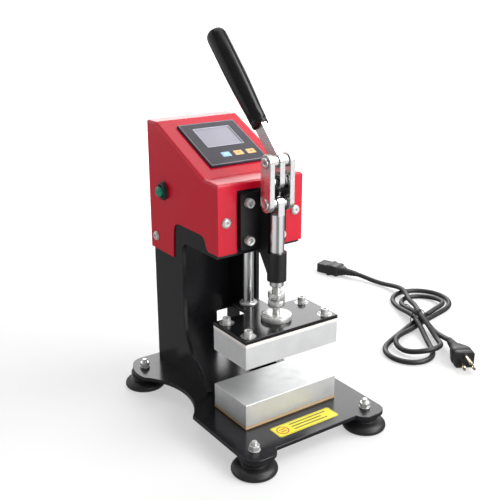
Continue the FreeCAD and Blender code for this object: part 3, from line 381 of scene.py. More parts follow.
def loft(bm, sections, matrix):
    """Skin over rounded rectangles. A section is (distance, half width, half height, corner radius)."""
    rings = []
    for distance, half_w, half_h, radius in sections:
        rings.append([(x, y, distance) for x, y in rounded_outline(half_w, half_h, radius)])
    skin(bm, scaled(rings), matrix)


# ---- mains lead ----
LEAD_DIAMETER = 7.0
LEAD_ORIGIN = (322.0, 92.0)
LEAD_ACROSS = (0.821, -0.571)
LEAD_ALONG = (0.571, 0.821)
CONNECTOR_AIM = (-119.0, 216.8, 9.5)
PLUG_AIM = (33.5, -157.0, 11.4)

# Points of the two free stretches, as (across, along, height of the axis above the floor).
TAIL_ROUTE = [
    (-65.0, 177.3, 9.5), (-54.0, 169.2, 8.4), (-40.0, 158.0, 4.6), (-24.0, 143.5, 4.4),
    (-13.0, 130.5, 7.6), (-5.5, 117.0, 11.0), (-1.0, 102.0, 11.4),
]
END_ROUTE = [
    (10.5, -27.5, 9.0), (14.0, -40.0, 6.4), (18.5, -54.0, 7.2), (22.5, -68.0, 10.5), (25.0, -78.0, 12.0),
]

# The hank is a figure of eight. Each strand runs straight through its place in the tie, and each turn is an
# oval that the strands touch. A stretch lies on the stretches of lower layers.
TIE_PLACES = [(0.0, 0.0), (5.0, -0.8), (-4.9, 0.0), (-4.6, 1.6), (5.2, 0.0)]
TIE_LAYERS = [5, 0, 2, 0, 4]
TURNS = [  # middle, radii, way round, layer
    ((-16.0, -77.5), (30.5, 31.0), -1, 3),
    ((19.6, 77.5), (44.0, 44.0), 1, 0),
    ((-31.0, -93.0), (32.0, 34.5), -1, 1),
    ((18.5, 65.5), (31.5, 32.0), 1, 3),
]
ON_FLOOR = 3.6           # height of the axis where the cable lies flat
STRAND_GAP = 8.1         # between the axes of two strands, before smoothing takes a little off
SAME_STRAND = 30.0       # points nearer than this along the cable don't lie on each other
HUMP_REACH = 56.0
POINT_SPACING = 5.0
DEGREES_A_POINT = 7.0
SMOOTHINGS = 12


def lead_point(across, along, height):
    """Point of the lead's own frame in millimetres, as a point of the row frame in metres."""
    x = LEAD_ORIGIN[0] + LEAD_ACROSS[0] * across + LEAD_ALONG[0] * along
    y = LEAD_ORIGIN[1] + LEAD_ACROSS[1] * across + LEAD_ALONG[1] * along + PRESS_AXIS_Y
    return Vector((x, y, height)) * MM


def touching_angle(middle, radii, place, side):
    """Angle at which a straight line from the place touches the oval, on one side or the other."""
    across = (place[0] - middle[0]) / radii[0]
    along = (place[1] - middle[1]) / radii[1]
    return math.atan2(along, across) + side * math.acos(1 / math.hypot(across, along))


def strand(start, end):
    """Points along a straight line, without its end."""
    count = round(math.dist(start, end) / POINT_SPACING)
    return [tuple(a + (b - a) * i / count for a, b in zip(start, end)) for i in range(count)]


def turn(middle, radii, way, before, after):
    """Points round an oval, from where a line from one place meets it to where a line to the next leaves."""
    first = touching_angle(middle, radii, before, way)
    last = touching_angle(middle, radii, after, -way)
    sweep = (last - first) * way % (2 * math.pi) * way
    count = round(abs(math.degrees(sweep)) / DEGREES_A_POINT)
    angles = [first + sweep * i / count for i in range(count + 1)]
    return [(middle[0] + radii[0] * math.cos(a), middle[1] + radii[1] * math.sin(a)) for a in angles]


def hank_plan():
    """Plan of the hank from the end of the tail to the start of the end stretch, with each point's layer."""
    plan = []
    here = TAIL_ROUTE[-1][:2]
    for place, layer, oval_turn, after in zip(TIE_PLACES, TIE_LAYERS, TURNS, TIE_PLACES[1:]):
        middle, radii, way, turn_layer = oval_turn
        oval = turn(middle, radii, way, place, after)
        plan += [(point, layer) for point in strand(here, place) + strand(place, oval[0])]
        plan += [(point, turn_layer) for point in oval[:-1]]
        here = oval[-1]
    plan += [(point, TIE_LAYERS[-1]) for point in strand(here, TIE_PLACES[-1])]
    plan += [(point, TIE_LAYERS[-1]) for point in strand(TIE_PLACES[-1], END_ROUTE[0][:2])]
    return plan[1:]     # the first point is the tail's last


def laid(plan):
    """Heights of the plan's points: each lies on what is under it, in long low humps."""
    points = [point for point, layer in plan]
    travelled = [0.0]
    for before, after in zip(points, points[1:]):
        travelled.append(travelled[-1] + math.dist(before, after))
    heights = [ON_FLOOR] * len(points)
    needs = [(0, TAIL_ROUTE[-1][2]), (len(points) - 1, END_ROUTE[0][2])]
    for top in sorted({layer for point, layer in plan}):
        for i, (point, layer) in enumerate(plan):
            for j, (other, below) in enumerate(plan):
                apart = math.dist(point, other)
                separate = abs(travelled[i] - travelled[j]) > SAME_STRAND
                if below < layer == top and apart < STRAND_GAP and separate:
                    needs.append((i, heights[j] + math.sqrt(STRAND_GAP**2 - apart**2)))
        for i, need in needs:
            for k in range(len(points)):
                away = min(1.0, abs(travelled[k] - travelled[i]) / HUMP_REACH)
                lift = (need - ON_FLOOR) * (0.5 + 0.5 * math.cos(math.pi * away))
                heights[k] = max(heights[k], ON_FLOOR + lift)
    return heights


def evenly(route):
    """Points along a route's straight runs, without its end."""
    return [point for start, end in zip(route, route[1:]) for point in strand(start, end)]


def lead_route():
    """The whole cable's axis: tail, hank and end stretch, with their joins smoothed."""
    plan = hank_plan()
    hank = [(*point, height) for (point, _), height in zip(plan, laid(plan))]
    route = [*evenly(TAIL_ROUTE), TAIL_ROUTE[-1], *hank, *evenly(END_ROUTE), END_ROUTE[-1]]
    for _ in range(SMOOTHINGS):
        threes = zip(route, route[1:], route[2:])
        inner = [tuple((a + 2 * b + c) / 4 for a, b, c in zip(*three)) for three in threes]
        route = [route[0], *inner, route[-1]]
    return route


def make_cable():
    data = bpy.data.curves.new("cable", "CURVE")
    data.dimensions = "3D"
    data.bevel_depth = LEAD_DIAMETER / 2 * MM
    data.bevel_resolution = 6
    data.resolution_u = 2
    data.use_fill_caps = True
    route = lead_route()
    spline = data.splines.new("NURBS")
    spline.points.add(len(route) - 1)
    for point, place in zip(spline.points, route):
        point.co = (*lead_point(*place), 1.0)
    spline.order_u = 3
    spline.use_endpoint_u = True
    data.materials.append(looks["lead_black"].material)
    cable = bpy.data.objects.new("cable", data)
    bpy.context.scene.collection.objects.link(cable)
    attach(cable, "frame")
    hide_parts("lead_tail", "lead_hank", "lead_end")
    return cable


def relief(bm, matrix, length, thin, thick, ribs):
    """Tapered strain relief with ribs round it."""
    profile = [(thin * 0.97, 0.0), (thin + 0.25, 0.4)]
    pitch = (length - 2.0) / ribs
    for rib in range(ribs):
        low = 1.2 + pitch * rib
        radius = thin + (thick - thin) * (low + pitch) / length
        rib_section = [(1.1, 0.0), (1.1, 0.38), (0.15, 0.46), (0.0, 0.6), (0.1, 0.92), (1.0, 1.0)]
        profile += [(radius - inset, low + share * pitch) for inset, share in rib_section]
    profile.append((thick - 0.6, length + 1.0))
    lathe(bm, profile, matrix, 40)


def aimed(start, towards):
    """Matrix for a shape drawn along +Z, with its X level, from one point towards another."""
    along = (towards - start).normalized()
    level = along.cross(UP).normalized()
    lift = along.cross(level) * -1.0
    turn_matrix = Matrix((level, lift, along)).transposed().to_4x4()
    return Matrix.Translation(start) @ turn_matrix


def make_connector():
    matrix = aimed(lead_point(*TAIL_ROUTE[0]), lead_point(*CONNECTOR_AIM))
    bm = bmesh.new()
    relief(bm, matrix, 24.0, 4.1, 6.4, 4)
    loft(bm, [
        (22.6, 5.0, 5.0, 3.5), (23.4, 7.4, 6.2, 3.6), (25.0, 8.0, 6.6, 3.6), (30.5, 9.4, 7.6, 3.4),
        (31.4, 12.2, 8.2, 2.6), (33.6, 12.8, 8.6, 2.6), (37.2, 12.0, 8.6, 2.6), (38.0, 11.0, 8.4, 2.6),
        (44.6, 11.4, 8.8, 2.6), (45.4, 13.2, 9.2, 2.6), (47.0, 13.5, 9.4, 2.6), (49.6, 13.3, 9.3, 2.4),
        (50.2, 11.9, 8.0, 1.6), (50.8, 11.6, 7.8, 1.5), (68.4, 11.6, 7.8, 1.5), (69.0, 11.2, 7.4, 1.3),
        (69.0, 9.6, 6.0, 0.9), (67.2, 9.5, 5.9, 0.9),
    ], matrix)
    return finished("appliance_connector", bm, "frame", "lead_black", ["lead_connector"], 40)


def make_plug():
    matrix = aimed(lead_point(*END_ROUTE[-1]), lead_point(*PLUG_AIM))
    bm = bmesh.new()
    relief(bm, matrix, 23.0, 4.1, 6.6, 4)
    loft(bm, [
        (21.6, 5.2, 5.2, 4.0), (22.6, 7.2, 6.8, 4.5), (25.5, 8.2, 7.6, 4.6), (31.0, 9.6, 8.8, 4.6),
        (37.0, 11.6, 10.2, 4.6), (41.0, 12.3, 10.8, 4.4), (43.0, 12.5, 11.0, 4.2), (49.0, 12.4, 10.9, 4.2),
        (49.5, 12.0, 10.6, 4.0), (50.3, 12.0, 10.6, 4.0), (50.8, 12.4, 10.9, 4.0), (57.2, 12.4, 10.9, 4.0),
        (58.0, 11.9, 10.4, 3.8),
    ], matrix)
    return finished("mains_plug", bm, "frame", "lead_black", ["lead_plug"], 40)


def make_blades():
    """Two flat blades with a hole each, and a round earth pin with a domed tip."""
    matrix = aimed(lead_point(*END_ROUTE[-1]), lead_point(*PLUG_AIM))
    bm = bmesh.new()
    for x in (-6.35, 6.35):
        low, high = -6.0, 0.3
        middle = (low + high) / 2
        plate = []
        for half in (-0.75, 0.75):
            ring = []
            for y, z in ((low, 50.5), (high, 50.5), (high, 74.6), (high - 1.2, 76.0), (low + 1.2, 76.0),
                         (low, 74.6)):
                ring.append((x + half, y, z))
            plate.append(ring)
        hole = []
        for half in (-0.75, 0.75):
            hole.append([(x + half, middle + 1.6 * math.cos(2 * math.pi * i / 24),
                          70.0 + 1.6 * math.sin(2 * math.pi * i / 24)) for i in range(24)])
        outer = [[bm.verts.new(matrix @ (Vector(p) * MM)) for p in ring] for ring in plate]
        inner = [[bm.verts.new(matrix @ (Vector(p) * MM)) for p in ring] for ring in hole]
        for side in (0, 1):
            loops = []
            for ring in (outer[side], inner[side]):
                for i, vert in enumerate(ring):
                    loops.append(bm.edges.new((vert, ring[(i + 1) % len(ring)])))
            bmesh.ops.triangle_fill(bm, use_beauty=True, use_dissolve=False, edges=loops)
        for pair in (outer, inner):
            count = len(pair[0])
            for i in range(count):
                j = (i + 1) % count
                bm.faces.new((pair[0][i], pair[0][j], pair[1][j], pair[1][i]))
    pin = matrix @ Matrix.Translation(Vector((0, 5.6, 50.5)) * MM)
    lathe(bm, [(2.4, 0.0), (2.4, 25.5), (2.2, 27.0), (1.5, 28.0), (0.6, 28.5)], pin, 32)
    return finished("plug_pins", bm, "frame", "pin_brass", ["plug_blades"])


def tube(bm, points, radius, count=10):
    """Thin round wire through the points."""
    rings = []
    for i, point in enumerate(points):
        before = points[max(0, i - 1)]
        after = points[min(len(points) - 1, i + 1)]
        matrix = (after - before).normalized().to_track_quat("Z", "Y").to_matrix()
        rings.append([point + matrix @ Vector(p) * MM for p in round_ring(radius, 0.0, count)])
    skin(bm, rings, Matrix.Identity(4))


def make_tie():
    """Twist tie: a flat band round the strands, its two ends twisted together, one of them left long."""
    hull = [(-9.0, 1.3), (0.0, 1.0), (9.0, 1.3), (10.6, 4.0), (10.6, 11.0), (9.2, 15.2), (5.2, 21.0),
            (0.0, 22.9), (-5.2, 21.0), (-9.2, 15.2), (-10.6, 11.0), (-10.6, 4.0)]
    count = len(hull)
    smooth = []
    for i in range(count):
        a, b, c, d = (Vector(hull[(i + k) % count]) for k in (-1, 0, 1, 2))
        for step in range(6):
            t = step / 6
            smooth.append(0.5 * ((2 * b) + (c - a) * t + (2 * a - 5 * b + 4 * c - d) * t * t
                                 + (3 * b - a - 3 * c + d) * t**3))
    bm = bmesh.new()
    rings = []
    for i, point in enumerate(smooth):
        ahead = smooth[(i + 1) % len(smooth)] - smooth[i - 1]
        out = Vector((ahead.y, -ahead.x)).normalized()
        ring = []
        for along, off in ((-1.9, 0.0), (-1.7, 0.32), (-0.6, 0.30), (0.0, 0.72), (0.6, 0.30), (1.7, 0.32),
                           (1.9, 0.0), (0.0, -0.25)):
            place = point + out * off
            ring.append(lead_point(place.x, along, place.y))
        rings.append(ring)
    skin(bm, rings, Matrix.Identity(4), closed=True)
    for phase in (0.0, math.pi):
        twist = []
        for step in range(40):
            share = step / 39
            angle = phase + share * 6 * math.pi
            twist.append(lead_point(9.6 + 6.2 * share, 2.0 - 5.0 * share + 0.8 * math.cos(angle),
                                    15.2 + 2.0 * share + 0.8 * math.sin(angle)))
        tube(bm, twist, 0.62)
    loose = [lead_point(-8.4 - 3.0 * t, 1.0 + 38.0 * t, 16.0 + 5.0 * math.sin(math.pi * t) - 2.0 * t)
             for t in (i / 12 for i in range(13))]
    tube(bm, loose, 0.62)
    return finished("twist_tie", bm, "frame", "lead_black", ["lead_tie"], 50)


cable = make_cable()
plug = make_plug()
pins = make_blades()
connector = make_connector()
tie = make_tie()


# ---- feet and base fasteners ----
FEET = {"front_left": (-73.5, -64.5), "front_right": (73.5, -64.5), "rear_left": (-79.0, 157.4),
        "rear_right": (79.0, 157.4)}
FOOT_PROFILE = [
    (3.2, -13.9), (3.2, -4.05), (14.2, -4.05), (15.6, -4.3), (16.3, -5.2), (16.4, -6.6), (16.1, -8.2),
    (15.3, -9.8), (14.2, -11.0), (13.5, -11.8), (13.3, -12.4), (13.6, -13.0), (14.6, -13.5), (16.4, -14.0),
    (18.6, -14.7), (20.6, -15.6), (22.2, -16.8), (23.3, -18.2), (23.8, -19.6), (23.8, -20.9), (23.3, -22.1),
    (22.5, -23.0), (21.6, -23.45), (20.6, -23.45), (19.8, -23.0), (18.2, -22.0), (15.0, -21.1), (9.0, -20.4),
    (3.0, -20.1),
]


def flat_matrix(x, y, z, spin=0.0):
    return Matrix.Translation(at(x, y, z)) @ Matrix.Rotation(math.radians(spin), 4, "Z")


def make_feet():
    for name, (x, y) in FEET.items():
        bm = bmesh.new()
        lathe(bm, FOOT_PROFILE, flat_matrix(x, y, 0.0), 72)
        finished("rubber_" + name, bm, "frame", "foot_rubber", ["foot_" + name], 50)


def make_base_fasteners():
    bm = bmesh.new()
    for spin, (x, y) in zip((14, 38, 52, 5), FEET.values()):
        matrix = flat_matrix(x, y, 0.0, spin)
        washer(bm, 6.2, 3.1, 1.0, matrix)
        nut(bm, 10.0, 3.05, 5.0, matrix @ Matrix.Translation(UP * MM))
        rings = [round_ring(0.3, -13.6), round_ring(2.7, -13.6), round_ring(2.9, -13.0)]
        rings += thread_rings(2.95, 0.35, 1.0, 5.0, 9.3)
        rings += [round_ring(2.4, 9.9), round_ring(1.0, 10.0)]
        skin(bm, scaled(rings), matrix)
    for spin, x in zip((11, 47), (-50.0, 50.0)):
        for y in (-20.0, 20.0):
            turned_over = flat_matrix(x, y, -4.0, spin + y) @ Matrix.Rotation(math.pi, 4, "X")
            socket_head(bm, 4.25, 5.0, 4.0, 2.4, 18.0, turned_over)
    finished("base_screws_and_nuts", bm, "frame", "zinc_steel", ["base_fasteners"])


# ---- toggle clamp ----
PIVOT_Z = 250.5
CRANK_Z = 270.5
LOWER_PIN_Z = 227.5
LEAN = math.radians(43.9)
GRIP_START = 43.6
GRIP_END = 165.3
GRIP_PROFILE = [
    (7.2, GRIP_START + 1.6), (7.6, GRIP_START + 0.3), (8.5, GRIP_START), (8.8, GRIP_START + 0.4),
    (8.85, GRIP_START + 3.4), (8.6, GRIP_START + 4.2), (8.65, GRIP_START + 5.0), (9.05, GRIP_START + 5.6),
    (9.35, 62.0), (9.9, 72.0), (10.35, 82.0), (10.75, 93.0), (11.05, 107.0), (11.2, 122.0), (11.27, 138.0),
    (11.28, GRIP_END - 8.6), (11.1, GRIP_END - 6.4), (10.6, GRIP_END - 4.3), (9.7, GRIP_END - 2.6),
    (8.4, GRIP_END - 1.3), (6.6, GRIP_END - 0.5), (4.4, GRIP_END - 0.12), (2.0, GRIP_END),
]


def make_grip():
    along = Vector((0, math.sin(LEAN), math.cos(LEAN)))
    bm = bmesh.new()
    lathe(bm, GRIP_PROFILE, placed(at(0, 0, CRANK_Z), along), 72)
    finished("lever_grip", bm, "handle", "grip_black", ["handle_grip"], 40)


JUST_OFF_MIDDLE = 1e-6   # its sign says which way a shape on the middle plane points


def cross_matrix(x, z, y=0.0):
    """Matrix for a shape drawn along +Z, laid along X, pointing away from the middle plane."""
    return placed(at(x, y, z), (math.copysign(1.0, x), 0, 0))


def pin_head(bm, radius, thick, key, matrix):
    """Low round head with a rounded rim and a hexagon socket."""
    rings = [round_ring(0.4, -1.0), round_ring(radius * 0.7, -0.5), round_ring(radius - 0.2, 0.0),
             round_ring(radius, 0.2), round_ring(radius, thick - 0.6), round_ring(radius - 0.2, thick - 0.2),
             round_ring(radius - 0.65, thick), round_ring(key * 0.7, thick), hex_ring(key, thick - 0.25),
             hex_ring(key, 0.15), round_ring(key * 0.2, 0.05)]
    skin(bm, scaled(rings), matrix)


def make_clamp_pins():
    bm = bmesh.new()
    for side in (-1, 1):
        pin_head(bm, 5.4, 1.4, 3.4, cross_matrix(side * 15.8, CRANK_Z))
        spacer = [(4.05, 3.1), (6.1, 3.05), (6.5, 3.45), (6.5, 8.9), (6.1, 9.3), (4.05, 9.3)]
        rings = [round_ring(radius, height) for radius, height in spacer]
        skin(bm, scaled(rings), cross_matrix(side * JUST_OFF_MIDDLE, CRANK_Z), closed=True)
    lathe(bm, [(0.5, -15.7), (4.0, -15.6), (4.0, 15.6), (0.5, 15.7)],
          cross_matrix(JUST_OFF_MIDDLE, CRANK_Z), 40)
    finished("crank_bolt", bm, "handle", "bright_steel", ["crank_pin"])

    bm = bmesh.new()
    for side in (-1, 1):
        pin_head(bm, 6.2, 1.4, 4.0, cross_matrix(side * 15.5, LOWER_PIN_Z))
        lathe(bm, [(0.5, 9.65), (4.45, 9.65), (4.45, 15.45), (0.5, 15.5)],
              cross_matrix(side * JUST_OFF_MIDDLE, LOWER_PIN_Z), 40)
    finished("link_bolts", bm, "link_pair", "bright_steel", ["link_studs"])

    bm = bmesh.new()
    for side in (-1, 1):
        pin_head(bm, 5.5, 2.8, 3.6, cross_matrix(side * 6.08, PIVOT_Z))
    lathe(bm, [(0.5, -6.0), (4.0, -5.9), (4.0, 5.9), (0.5, 6.0)], cross_matrix(JUST_OFF_MIDDLE, PIVOT_Z), 40)
    finished("pivot_bolt", bm, "frame", "bright_steel", ["pivot_pin"])

    bm = bmesh.new()
    profile = [(0.5, -9.2), (4.6, -9.2), (5.35, -8.5), (5.35, -4.4), (4.9, -4.05), (4.45, -4.0), (4.45, 4.0),
               (4.9, 4.05), (5.35, 4.4), (5.35, 8.5), (4.6, 9.2), (0.5, 9.2)]
    lathe(bm, profile, cross_matrix(JUST_OFF_MIDDLE, LOWER_PIN_Z), 40)
    finished("tongue_bolt", bm, "plunger", "bright_steel", ["tongue_pin"])


CLAMP_SCREWS = [(-20.3, 185.5), (20.3, 185.5), (-20.3, 226.0), (20.3, 226.0)]
FLANGE_FACE = 23.2


def make_clamp_screws():
    bm = bmesh.new()
    towards_front = (0, -1, 0)
    for x, z in CLAMP_SCREWS:
        spin = Matrix.Rotation(math.radians(0.9 * z + 3 * x), 4, "Z")
        socket_head(bm, 5.0, 6.0, 5.0, 2.95, 19.5, placed(at(x, FLANGE_FACE, z), towards_front) @ spin)
        nut(bm, 10.0, 3.05, 5.0, placed(at(x, 34.2, z), (0, 1, 0)) @ spin)
    finished("clamp_screws", bm, "frame", "zinc_steel", ["clamp_fasteners"])


# ---- spindle and upper platen ----
def make_spindle():
    rings = [round_ring(1.0, 99.8), round_ring(6.7, 99.8), round_ring(6.9, 100.1), round_ring(6.9, 103.2),
             round_ring(4.05, 103.3), round_ring(4.05, 112.8), round_ring(5.6, 114.5),
             hex_ring(17.0, 114.5, 8.3), hex_ring(17.0, 115.7, 9.35), hex_ring(17.0, 121.2, 9.35),
             hex_ring(17.0, 122.3, 8.3), round_ring(5.2, 122.35)]
    rings += thread_rings(4.95, 0.62, 1.5, 122.4, 164.6)
    rings += [round_ring(4.0, 164.9), round_ring(1.0, 165.0)]
    bm = bmesh.new()
    skin(bm, scaled(rings), flat_matrix(0, 0, 0, 9))
    finished("pressure_spindle", bm, "spindle", "spindle_steel", ["spindle"])
    bm = bmesh.new()
    nut(bm, 17.0, 5.05, 8.5, flat_matrix(0, 0, 122.5, 33))
    finished("spindle_lock_nut", bm, "spindle", "spindle_steel", ["lock_nut"])

    bm = bmesh.new()
    profile = [(4.2, 99.5), (16.3, 99.5), (16.5, 99.8), (16.5, 105.1), (16.2, 105.7), (15.5, 106.0),
               (6.2, 106.0), (5.8, 105.7), (4.2, 105.7)]
    rings = [round_ring(radius, height, 72) for radius, height in profile]
    skin(bm, scaled(rings), flat_matrix(0, 0, 0), closed=True)
    finished("spindle_collar", bm, "platen", "zinc_steel", ["spindle_flange"])


PLATE_TOP = 99.5
BOLT_AT = [(-50.0, -20.0), (50.0, -20.0), (-50.0, 20.0), (50.0, 20.0)]


def make_platen_screws():
    bm = bmesh.new()
    for spin, (x, y) in zip((8, 21, 40, 55), BOLT_AT):
        matrix = flat_matrix(x, y, PLATE_TOP, spin)
        washer(bm, 8.2, 2.7, 1.0, matrix)
        spring_washer(bm, 4.6, 2.6, 1.3, matrix @ Matrix.Translation(UP * 1.0 * MM))
        socket_head(bm, 4.25, 5.0, 4.0, 2.45, 22.0, matrix @ Matrix.Translation(UP * 2.3 * MM))
    for step in range(4):
        turn_by = math.radians(45 + 90 * step)
        matrix = flat_matrix(11.8 * math.cos(turn_by), 11.8 * math.sin(turn_by), 106.0, 17 * step)
        rings = [round_ring(0.3, -8.6), round_ring(1.9, -8.4), round_ring(1.9, -2.4), round_ring(3.2, -0.2),
                 round_ring(3.4, 0.0), round_ring(3.2, 0.12), round_ring(1.7, 0.12), hex_ring(2.5, -0.1),
                 hex_ring(2.5, -1.4), round_ring(0.5, -1.6)]
        skin(bm, scaled(rings), matrix)
    collar = [(6.1, 99.5), (9.8, 99.5), (10.0, 99.8), (10.0, 101.7), (9.4, 102.4), (6.6, 102.4), (6.1, 102.0)]
    rings = [round_ring(radius, height) for radius, height in collar]
    skin(bm, scaled(rings), flat_matrix(0, 52.0, 0), closed=True)
    below = flat_matrix(0, 52.0, 95.5) @ Matrix.Rotation(math.pi, 4, "X")
    socket_head(bm, 5.0, 6.0, 5.0, 2.95, 18.0, below)
    finished("platen_screws", bm, "platen", "zinc_steel", ["platen_fasteners"])


# ---- housing screws, push button ----
COVER_SCREWS = [(-44.0, 152.0), (44.0, 152.0), (-44.0, 178.0), (44.0, 178.0)]


def make_housing_screws():
    bm = bmesh.new()
    for x in (-44.2, 44.2):
        button_head(bm, 5.5, 3.0, 3.0, 2.45, 9.0, placed(at(x, 28.0, 206.7), (0, -1, 0)))
        button_head(bm, 5.5, 3.0, 3.0, 2.45, 9.0, cross_matrix(math.copysign(54.0, x), 160.6, 160.4))
    for x, z in COVER_SCREWS:
        button_head(bm, 3.8, 2.2, 2.5, 1.95, 11.0, placed(at(x, 173.4, z), (0, 1, 0)))
    finished("domed_screws", bm, "frame", "zinc_steel", ["housing_screws"])


BUTTON_Y = 139.0
BUTTON_Z = 218.5


def make_push_button():
    matrix = placed(at(-54.0, BUTTON_Y, BUTTON_Z), (-1, 0, 0))
    bm = bmesh.new()
    rings = [round_ring(6.6, 0.0), hex_ring(20.0, 0.0, 10.8), hex_ring(20.0, 1.1, 11.0), round_ring(9.6, 1.6),
             round_ring(9.6, 4.0), round_ring(9.2, 4.8), round_ring(8.2, 5.2), round_ring(7.3, 5.0),
             round_ring(6.6, 4.2)]
    skin(bm, scaled(rings), matrix, closed=True)
    skin(bm, scaled([round_ring(7.6, -19.8), round_ring(7.85, -19.4), round_ring(7.85, -0.2),
                     round_ring(6.4, -0.2), round_ring(6.4, -3.0), round_ring(1.0, -3.0)]), matrix)
    nut(bm, 19.0, 7.95, 2.6, placed(at(-50.0, BUTTON_Y, BUTTON_Z), (-1, 0, 0)))
    finished("button_bezel", bm, "frame", "black_plastic", ["push_button_body"])

    bm = bmesh.new()
    profile = [(1.0, -0.9), (5.9, -0.9), (6.0, -0.6), (6.0, 6.2), (5.9, 7.2), (5.5, 8.1), (4.8, 8.8),
               (3.8, 9.2), (2.4, 9.4), (0.8, 9.45)]
    lathe(bm, profile, matrix, 56)
    finished("button_cap", bm, "push_button", "button_green", ["push_button_cap"], 50)


# ---- control panel ----
SLOPE_FOOT = (54.8, 248.4)
SLOPE_RISE = math.atan2(293.7 - 248.4, 153.5 - 54.8)
PANEL = (-35.7, 38.3, 15.5, 93.5)
LCD = (-21.6, 25.4, 47.4, 82.9)
KEY_V = 32.1
PANEL_MATRIX = Matrix.Translation(at(0, *SLOPE_FOOT)) @ Matrix.Rotation(SLOPE_RISE, 4, "X")


def flat_frame(bm, outline, width, low, high, matrix):
    """Thin raised border inside a rectangle (x0, x1, v0, v1)."""
    x0, x1, v0, v1 = outline
    rings = []
    for inset, height in ((0.0, low), (0.0, high - 0.1), (0.1, high), (width - 0.1, high),
                          (width, high - 0.1), (width, low)):
        half_x, half_v = (x1 - x0) / 2 - inset, (v1 - v0) / 2 - inset
        middle = ((x0 + x1) / 2, (v0 + v1) / 2)
        rings.append([(x, v, height) for x, v in rounded_outline(half_x, half_v, 1.2 - 0.6 * inset, middle)])
    skin(bm, scaled(rings), matrix, closed=True)


def grown(outline, by):
    x0, x1, v0, v1 = outline
    return (x0 - by, x1 + by, v0 - by, v1 + by)


def make_panel_trim():
    # The bezel rim is a thin raised border coloured light grey to stand for the highlight along the bezel's
    # chamfered edge: a painted highlight
    bm = bmesh.new()
    flat_frame(bm, grown(PANEL, -1.25), 0.75, 2.7, 2.98, PANEL_MATRIX)
    finished("bezel_rim", bm, "frame", "bezel_slate", look="rim_painted_highlight")
    bm = bmesh.new()
    flat_frame(bm, grown(LCD, 0.1), 0.9, 1.7, 2.92, PANEL_MATRIX)
    finished("display_border", bm, "frame", "display", look="display_border")


def raised_shape(bm, points, low, high, matrix):
    """Low raised figure on a key."""
    grid = []
    for height in (low, high):
        grid.append([bm.verts.new(matrix @ (Vector((x, y, height)) * MM)) for x, y in points])
    bm.faces.new(grid[0])
    bm.faces.new(grid[1])
    for i in range(len(points)):
        j = (i + 1) % len(points)
        bm.faces.new((grid[0][i], grid[0][j], grid[1][j], grid[1][i]))


def make_key_marks():
    """Plain marks: two bars on the first key, and triangles that point down and up on the others."""
    bars = [[(-2.6, 0.6), (2.6, 0.6), (2.6, 1.5), (-2.6, 1.5)],
            [(-2.6, -1.5), (1.2, -1.5), (1.2, -0.6), (-2.6, -0.6)]]
    down = [[(-2.2, 1.3), (2.2, 1.3), (0.0, -1.6)]]
    up = [[(-2.2, -1.3), (2.2, -1.3), (0.0, 1.6)]]
    for name, x, figures, slot in (("key_set", -7.4, bars, "key_blue"), ("key_down", 8.6, down, "key_orange"),
                                   ("key_up", 24.6, up, "key_orange")):
        bm = bmesh.new()
        matrix = PANEL_MATRIX @ Matrix.Translation(Vector((x, KEY_V, 0)) * MM)
        for figure in figures:
            raised_shape(bm, figure, 2.85, 3.12, matrix)
        look = "mark_blue" if slot == "key_blue" else "mark_brown"
        finished(name + "_mark", bm, name, slot, look=look)


# ---- label ----
PRINT_LOW = 0.28
PRINT_HIGH = 0.36


def make_label_print():
    """Plain print without lettering: a ring with two bars in it, and grey strokes beside it."""
    bm = bmesh.new()
    matrix = flat_matrix(-29.0, -52.3, 0.0)
    rings = [round_ring(6.9, PRINT_LOW), round_ring(6.9, PRINT_HIGH), round_ring(5.7, PRINT_HIGH),
             round_ring(5.7, PRINT_LOW)]
    skin(bm, scaled(rings), matrix, closed=True)
    for z in (-1.8, 1.8):
        bar = [(-3.6, z - 0.7), (3.6, z - 0.7), (3.6, z + 0.7), (-3.6, z + 0.7)]
        raised_shape(bm, bar, PRINT_LOW, PRINT_HIGH, matrix)
    finished("label_ring", bm, "frame", "housing_red", look="ink_red")
    bm = bmesh.new()
    matrix = flat_matrix(0.0, 0.0, 0.0)
    for y, end in ((-47.2, 31.0), (-52.0, 22.0), (-56.8, 27.0)):
        stroke = [(-17.0, y - 0.8), (end, y - 0.8), (end, y + 0.8), (-17.0, y + 0.8)]
        raised_shape(bm, stroke, PRINT_LOW, PRINT_HIGH, matrix)
    finished("label_strokes", bm, "frame", "black_plastic", look="ink_grey")
    bm = bmesh.new()
    flat_frame(bm, (-38.2, 38.2, -61.2, -43.4), 0.5, PRINT_LOW, PRINT_HIGH, matrix)
    finished("label_border", bm, "frame", "black_plastic", look="ink_grey")


make_feet()
make_base_fasteners()
make_grip()
make_clamp_pins()
make_clamp_screws()
make_spindle()
make_platen_screws()
make_housing_screws()
make_push_button()
make_panel_trim()
make_key_marks()
make_label_print()


# ---- camera, light and floor ----
CAMERA_LENS = 56.76
CAMERA_PLACE = at(-463.2, -616.9, 441.0)
CAMERA_TARGET = at(-11.1, 32.93, 170.09)


def look_at(thing, target):
    thing.rotation_euler = (target - thing.location).to_track_quat("-Z", "Y").to_euler()


def area_light(name, place, target, size, power):
    data = bpy.data.lights.new(name, "AREA")
    data.shape = "RECTANGLE"
    data.size, data.size_y = size
    data.energy = power
    light = bpy.data.objects.new(name, data)
    light.location = place
    look_at(light, target)
    bpy.context.scene.collection.objects.link(light)


